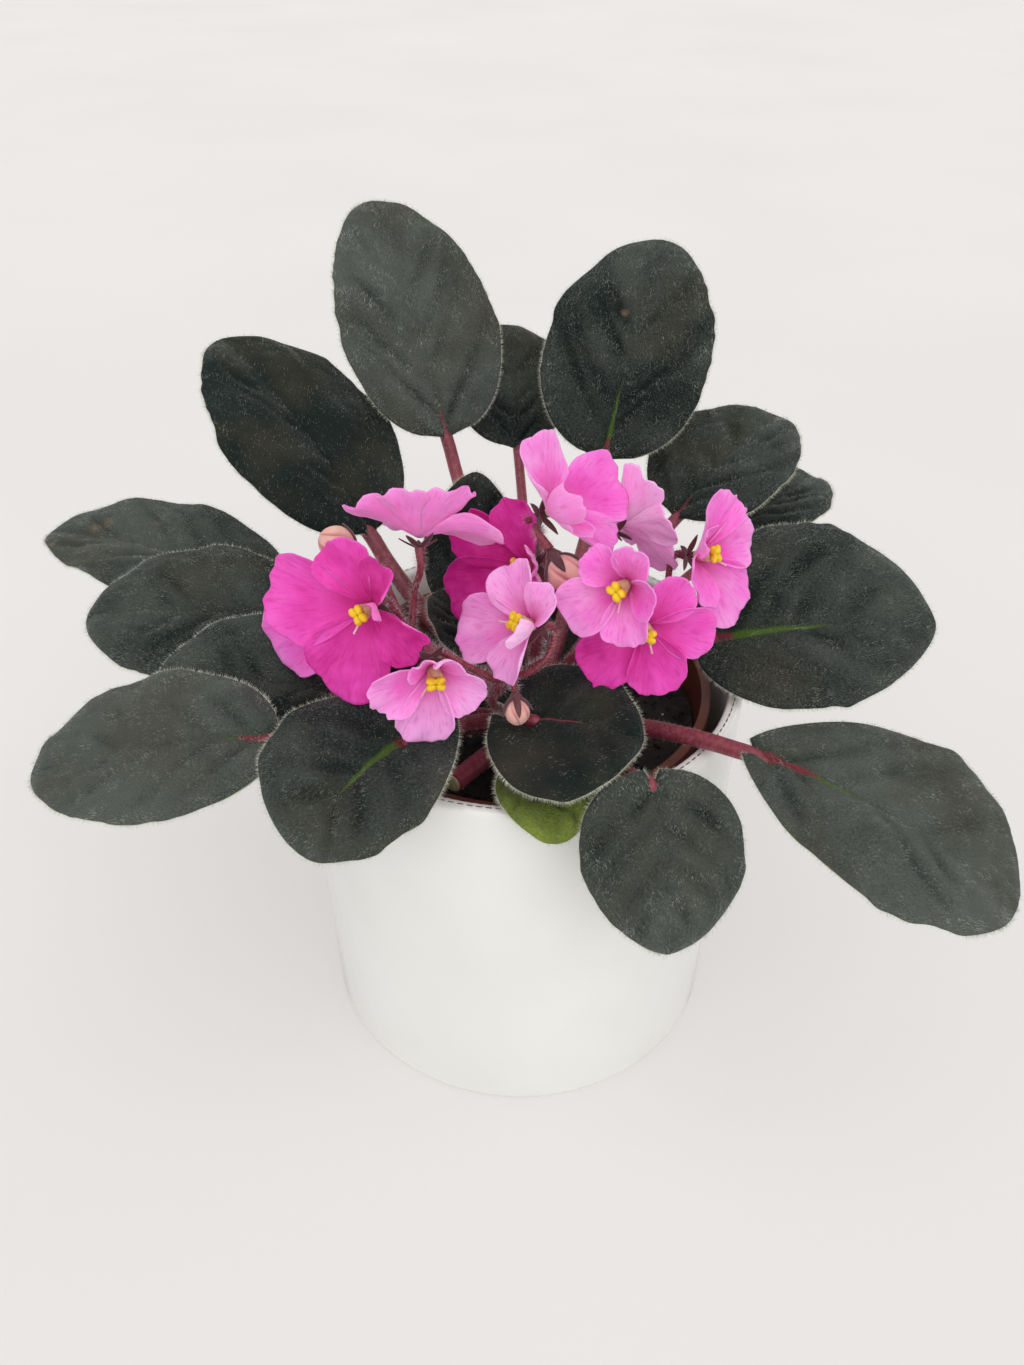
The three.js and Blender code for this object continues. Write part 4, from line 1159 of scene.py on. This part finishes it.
BUD_PETALS = 5
BUD_SEAM_DEPTH = 0.16
BUD_SEAM_WIDTH = 0.09
BUD_OVERLAP = 0.10
BUD_SWIRL = 1.0

bud_skin = add_finish("bud_petals", (0.80, 0.42, 0.34), 0.5, {
    "Subsurface Weight": 0.3, "Subsurface Scale": 0.002, "Sheen Weight": 0.3,
})
bud_cloud = grain(bud_skin, 220, 3)
bud_peach = ramp(
    bud_skin, bud_cloud, (0.3, (0.72, 0.32, 0.30)), (0.6, (0.84, 0.48, 0.40)), (0.8, (0.88, 0.58, 0.48))
)
colour_by(bud_skin, share_colours(bud_skin, read_corner(bud_skin, "seam"), bud_peach, (0.55, 0.16, 0.20)))
emboss(bud_skin, grain(bud_skin, 900, 2, stretch=(1, 1, 0.3)), 0.1 * MM, 0.5)

for name, bud in buds.items():
    bpy.ops.mesh.primitive_uv_sphere_add(segments=60, ring_count=30, radius=1)
    egg = bpy.context.object
    seams = []
    for corner in egg.data.vertices:
        share = (corner.co.z + 1) / 2
        angle = math.atan2(corner.co.y, corner.co.x)
        lobe = ((angle + BUD_SWIRL * share) / (2 * math.pi) * BUD_PETALS) % 1
        seam = math.exp(-((min(lobe, 1 - lobe) / BUD_SEAM_WIDTH) ** 2)) * min(1, 1.6 * share)
        overlap = BUD_OVERLAP * (lobe - 0.5) * share
        radius = bud.radius_at(share) * (1 + overlap - BUD_SEAM_DEPTH * seam)
        corner.co = bud.at + bud.face * share * BUD_LENGTH * bud.size + bud.turned(angle) * radius
        seams.append(seam)
    add_reading(egg, "seam", seams)
    bpy.ops.object.shade_smooth()
    finish_piece(egg, "bud_petals_" + name, [bud_skin], "bud", "bud_" + name)


# ---- Open flowers -------------------------------------------------------------------
# Each flower has five or six broad pink petals, one with each other at the short throat and parting
# into waved lobes that overlap. They deepen in streaks towards the throat and are paler behind, where a
# faint pink emission paints a glow on them.

# A petal is joined to the next up to the share PETAL_JOINED of its length, and free PETAL_PARTING further
# out. There it reaches PETAL_OVERLAP degrees over the next, but stays within PETAL_WIDEST degrees of its
# middle. The notch between two petals, the frills and the cleft are shares of the length.
PETAL_ROWS = 34
PETAL_COLUMNS = 30
PETAL_THICKNESS = 0.36 * MM
PETAL_OVERLAP = 8
PETAL_WIDEST = 50
PETAL_JOINED = 0.2
PETAL_PARTING = 0.25
PETAL_NOTCH = 0.46
PETAL_RECURVE = 2 * MM
PETAL_LAYER = 0.22 * MM
PETAL_FRILL = 0.075
PETAL_FINE_FRILL = 0.045
PETAL_CLEFT = 0.03
PETAL_CREASE = 0.5 * MM
PETAL_WAVE = 0.9 * MM
PETAL_RUFFLE = 0.5 * MM


def angle_between(first, second):
    """Degrees from the first angle round to the second."""
    return (second - first) % 360


def petal_mesh(bloom, index):
    """One petal of a flower as an open sheet, its UV running along and across it."""
    angle, length, lift, tone = bloom.lobes[index]
    before = bloom.lobes[index - 1]
    after = bloom.lobes[(index + 1) % len(bloom.lobes)]
    gaps = (angle_between(before[0], angle) / 2, angle_between(angle, after[0]) / 2)
    phase = random.uniform(0, 6.3)
    drift = random.uniform(-20, 20)
    waves = random.uniform(8, 12)
    bpy.ops.mesh.primitive_grid_add(x_subdivisions=PETAL_ROWS, y_subdivisions=PETAL_COLUMNS, size=2)
    petal = bpy.context.object
    for corner in petal.data.vertices:
        rho, t = 0.03 + 0.97 * (corner.co.x + 1) / 2, corner.co.y
        free = min(1, max(0, (rho - PETAL_JOINED) / PETAL_PARTING))
        gap = gaps[t > 0]
        neighbour = (before, after)[t > 0]
        half = gap + (min(PETAL_WIDEST, gap + PETAL_OVERLAP) - gap) * free
        side = abs(t)
        shared = min(1.1, side * half / gap)
        outline = max(0, 1 - side ** 2.3) ** 0.66
        notch = PETAL_NOTCH * (length + neighbour[1]) / 2
        reach = (notch + (length - notch) * outline) * MM
        frill = PETAL_FRILL * noise.noise(Vector((2.2 * t + drift, phase, 0)))
        frill += PETAL_FINE_FRILL * noise.noise(Vector((7 * t + drift, phase, 3)))
        frill -= PETAL_CLEFT * math.exp(-((t / 0.12) ** 2))
        reach *= 1 + frill * free
        joining = shared ** 2 * (1 - 0.55 * free)
        tilt = math.radians(lift + (neighbour[2] - lift) / 2 * joining) * (0.5 + 0.5 * rho)
        out = reach * rho
        ruffle = PETAL_CREASE * rho ** 2 * math.cos(3 * math.pi * t) * (1 - side)
        ruffle += PETAL_WAVE * rho ** 3 * math.sin(5.5 * t + phase) * (0.4 + side)
        ruffle += PETAL_RUFFLE * rho ** 8 * math.sin(waves * t + drift)
        spot = Vector((out * math.cos(t), out * math.sin(t), drift * MM))
        crumple = MM * rho * (0.9 * noise.noise(spot * 110) + 0.4 * noise.noise(spot * 280))
        forward = out * math.sin(tilt) - THROAT_DEPTH * (1 - rho) ** 3
        forward += (ruffle + crumple + PETAL_LAYER * t) * free
        forward -= PETAL_RECURVE * rho ** 3 * (1 - shared * shared)
        around = bloom.turned(math.radians(angle + t * half))
        corner.co = bloom.at + around * out * math.cos(tilt) + bloom.face * forward
    add_reading(petal, "tone", [tone] * len(petal.data.vertices))
    return petal


petal_pink = add_finish("petal_pink", (0.90, 0.14, 0.58), 0.6, {
    "Subsurface Weight": 0.4, "Subsurface Scale": 0.001, "Subsurface Radius": (1.0, 0.6, 0.85),
    "Sheen Weight": 0.1, "Sheen Roughness": 0.5,
    "Sheen Tint": (1.0, 0.6, 0.85, 1), "Specular IOR Level": 0.25,
})
# Paler pink behind, and a faint pink emission paints a glow on the backs in place of light through the
# petal.
petal_back_with_painted_glow = add_finish("petal_back_with_painted_glow", (0.80, 0.32, 0.58), 0.65, {
    "Subsurface Weight": 0.7, "Subsurface Scale": 0.001, "Subsurface Radius": (1.0, 0.6, 0.85),
    "Sheen Weight": 0.2, "Specular IOR Level": 0.25,
    "Emission Color": (1.0, 0.42, 0.78, 1), "Emission Strength": 0.10,
})


def paint_petal(made, pale, mid, rich, deep, throat, throat_share):
    """Pink that deepens towards the throat in fine streaks and pales towards the outer margin."""
    spread = add_node(made, "ShaderNodeUVMap", uv_map="UVMap").outputs["UV"]
    along = add_node(made, "ShaderNodeSeparateXYZ", {"Vector": spread})
    streaks = grain(made, 1, 4, spread, (5, 34, 1))
    cloud = grain(made, 130, 3)
    tone = read_corner(made, "tone")
    patchy = sums(made, "MULTIPLY_ADD", cloud, 0.7, -0.35)
    depth = sums(made, "MULTIPLY_ADD", tone, 0.85, patchy)
    base = ramp(made, depth, (0.0, pale), (0.35, mid), (0.7, rich), (1.0, deep))
    veined = ramp(made, streaks, (0.36, (0.84, 0.56, 0.74)), (0.5, (1.0, 1.0, 1.0)))
    base = share_colours(made, 0.75, base, veined, "MULTIPLY")
    inner = sums(made, "SUBTRACT", 1, along.outputs["X"])
    streaked = sums(made, "MULTIPLY", sums(made, "POWER", inner, 2.2), sums(made, "ADD", streaks, 0.35))
    deepened = share_colours(made, sums(made, "MULTIPLY", streaked, throat_share), base, throat)
    margin = sums(made, "MULTIPLY", sums(made, "POWER", along.outputs["X"], 7), 0.6)
    margin = sums(made, "MULTIPLY", margin, sums(made, "SUBTRACT", 0.9, tone))
    colour_by(made, share_colours(made, margin, deepened, pale))
    veins = sums(made, "ADD", streaks, sums(made, "MULTIPLY", grain(made, 1400, 2), 0.3))
    crumples = sums(made, "MULTIPLY", grain(made, 300, 2), 2.5)
    emboss(made, sums(made, "ADD", veins, crumples), 0.22 * MM, 0.5)


paint_petal(
    petal_pink, pale=(0.98, 0.42, 0.82), mid=(0.96, 0.16, 0.67), rich=(0.84, 0.075, 0.50),
    deep=(0.56, 0.008, 0.26), throat=(0.60, 0.012, 0.26), throat_share=1.15,
)
paint_petal(
    petal_back_with_painted_glow, pale=(0.99, 0.56, 0.86), mid=(0.98, 0.28, 0.72), rich=(0.92, 0.18, 0.58),
    deep=(0.84, 0.12, 0.48), throat=(0.78, 0.16, 0.48), throat_share=0.6,
)

for name, bloom in blooms.items():
    random.seed(name + " petals")
    petals = join_pieces([petal_mesh(bloom, index) for index in range(len(bloom.lobes))])
    merge_corners(petals, 0.01 * MM)
    dress(petals, [petal_pink, petal_back_with_painted_glow])
    thicken(petals, PETAL_THICKNESS, material_offset=1)
    bpy.ops.object.shade_smooth()
    finish_piece(petals, "petals_" + name, [], "petal", "corolla_" + name)


# ---- Anthers ------------------------------------------------------------------------
# In the middle stands a pale fleshy knob with a pair of joined yellow anthers, two plump lobes
# each, and a thin pale-pink style with a tiny head.

# In a flower a knot is how many millimetres it lies forward, towards a chosen side, and beside that.
KNOB_KNOTS = ((-2.4, 0, 0), (0.2, 0.3, 0), (2.4, 0.9, 0))
KNOB_RADII = (1.3, 1.75, 1.1)
FILAMENT_KNOTS = ((0.6, 0, 0.9), (1.85, 0.8, 1.35), (3.1, 1.6, 0.8))
FILAMENT_RADII = (0.75, 0.75, 0.75)
STYLE_KNOTS = ((0.8, 0, 0), (2.4, 2.4, 0), (3.6, 6, 0))
STYLE_RADII = (0.38, 0.3, 0.26)
STYLE_HEAD = 0.36 * MM
LOBE_FORWARD = 3.45
LOBE_LEAN = 1.6
LOBE_STEP = 0.85
LOBE_APART = 1.12
LOBE_THICKNESS = 1.056 * MM
LOBE_LENGTH = 1.344 * MM
SOFT_FLESH = {"Subsurface Weight": 0.3, "Subsurface Scale": 0.001}

pollen = add_finish("anther_yellow", (0.85, 0.55, 0.01), 0.5, {
    "Subsurface Weight": 0.15, "Subsurface Scale": 0.001,
})
mottle(pollen, 900, 3, (0.3, (0.70, 0.38, 0.002)), (0.5, (0.88, 0.60, 0.005)), (0.75, (0.93, 0.74, 0.04)))
emboss(pollen, grain(pollen, 2500, 2), 0.1 * MM, 0.6)
knob_flesh = add_finish("filament_knob", (0.62, 0.42, 0.22), 0.5, SOFT_FLESH)
mottle(knob_flesh, 500, 3, (0.3, (0.60, 0.30, 0.18)), (0.6, (0.62, 0.50, 0.26)), (0.8, (0.74, 0.60, 0.40)))
style_flesh = add_finish("style", (0.80, 0.42, 0.52), 0.45, SOFT_FLESH)
mottle(style_flesh, 600, 2, (0.3, (0.76, 0.30, 0.46)), (0.7, (0.84, 0.55, 0.60)))


def grow_lump(place, axis, thickness, length):
    """A small egg at a place, longer along an axis and a little waisted."""
    bpy.ops.mesh.primitive_uv_sphere_add(segments=20, ring_count=12, radius=1)
    lump = bpy.context.object
    for corner in lump.data.vertices:
        waist = 1 - 0.12 * math.exp(-((corner.co.z / 0.35) ** 2))
        corner.co *= Vector((waist * thickness, thickness, length))
    lump.data.transform(Matrix.Translation(place) @ turned_towards(axis))
    return lump


def flower_place(bloom, angle, forward, towards, beside):
    """The place of a knot in a flower, where angle is the chosen side."""
    way = bloom.turned(angle)
    return bloom.at + (bloom.face * forward + way * towards + bloom.face.cross(way) * beside) * MM


def grow_inside(bloom, angle, knots, radii, roundness):
    """A stalk through knots in a flower."""
    places = [flower_place(bloom, angle, *knot) for knot in knots]
    return grow_tube(places, [radius * MM for radius in radii], roundness)


for name, bloom in blooms.items():
    lean = bloom.turned(bloom.lip)
    knob = [grow_inside(bloom, bloom.lip, KNOB_KNOTS, KNOB_RADII, 6)]
    lobes = []
    for side in (-1, 1):
        knots = [(forward, towards, side * beside) for forward, towards, beside in FILAMENT_KNOTS]
        knob.append(grow_inside(bloom, bloom.lip, knots, FILAMENT_RADII, 4))
        for step in (-1, 1):
            knot = (LOBE_FORWARD, LOBE_LEAN + step * LOBE_STEP, side * LOBE_APART)
            axis = bloom.face.cross(lean) + lean * 0.25 * side * step
            place = flower_place(bloom, bloom.lip, *knot)
            lobes.append(grow_lump(place, axis, LOBE_THICKNESS, LOBE_LENGTH))
    tip = flower_place(bloom, bloom.style, *STYLE_KNOTS[-1])
    style = [
        grow_inside(bloom, bloom.style, STYLE_KNOTS, STYLE_RADII, 3),
        grow_lump(tip, bloom.turned(bloom.style), STYLE_HEAD, STYLE_HEAD),
    ]
    for parts, kind, made, nodes in (
        (knob, "knob_", knob_flesh, []), (style, "style_", style_flesh, []),
        (lobes, "anther_lobes_", pollen, ["anthers_" + name]),
    ):
        piece = join_pieces(parts)
        bpy.ops.object.shade_smooth()
        finish_piece(piece, kind + name, [made], "anther", *nodes)


# ---- Floor, light and camera ------------------------------------------------------
# The plant stands on a pale translucent table, lit a little from below so that shadows stay faint,
# under a broad soft light from the front and above. The camera looks down as in the photograph.

FLOOR_SIZE = 9.0
FLOOR_GLOW = 0.34
SUN_STRENGTH = 1.2
SUN_SPREAD = math.radians(75)
SUN_COLOUR = (1.0, 0.985, 0.96)
SUN_PLACE = (0.5, -0.6, 1.4)
SUN_WAY = Vector((-0.08, 0.6, -1))
ROOM_STRENGTH = 1.0
ROOM_OVERHEAD = (0.60, 0.595, 0.59)
ROOM_SIDES = (1.06, 1.05, 1.04)
CAMERA_TARGET = Vector((-2.95, 0, 121.5)) * MM
CAMERA_DISTANCE = 338.1 * MM
CAMERA_ELEVATION = math.radians(37.73)
CAMERA_ROLL = math.radians(0.2)
LENS = 29.0

bpy.ops.mesh.primitive_plane_add(size=FLOOR_SIZE)
floor = bpy.context.object
floor.name = "floor"
floor_finish = add_finish("pale_floor", (0.48, 0.475, 0.47), 0.8, {
    "Emission Color": (1.0, 0.965, 0.95, 1), "Emission Strength": FLOOR_GLOW, "Specular IOR Level": 0.2,
})
mottle(floor_finish, 3, 2, (0.3, (0.47, 0.465, 0.46)), (0.7, (0.50, 0.495, 0.49)))
dress(floor, [floor_finish])

bpy.ops.object.light_add(type="SUN", location=SUN_PLACE)
sun = bpy.context.object
sun.name = "soft_light"
sun.data.energy = SUN_STRENGTH
sun.data.angle = SUN_SPREAD
sun.data.color = SUN_COLOUR
sun.rotation_euler = SUN_WAY.to_track_quat("-Z", "Y").to_euler()

world = bpy.data.worlds.new("soft_room")
world.use_nodes = True
room = world.node_tree.nodes["Background"]
room.inputs["Strength"].default_value = ROOM_STRENGTH
room_way = add_node(world, "ShaderNodeTexCoord").outputs["Generated"]
room_height = add_node(world, "ShaderNodeSeparateXYZ", {"Vector": room_way}).outputs["Z"]
room_light = ramp(world, room_height, (0.0, ROOM_SIDES), (0.7, ROOM_OVERHEAD))
world.node_tree.links.new(room_light, room.inputs["Color"])
bpy.context.scene.world = world

view_direction = Vector((0, math.cos(CAMERA_ELEVATION), -math.sin(CAMERA_ELEVATION)))
bpy.ops.object.camera_add(location=CAMERA_TARGET - view_direction * CAMERA_DISTANCE)
camera = bpy.context.object
camera.data.lens = LENS
camera.data.clip_start = 0.01
camera.rotation_mode = "QUATERNION"
camera.rotation_quaternion = view_direction.to_track_quat("-Z", "Y") @ Quaternion((0, 0, 1), CAMERA_ROLL)
bpy.context.scene.camera = camera
bpy.context.scene.view_settings.view_transform = "Standard"

bpy.context.view_layer.update()
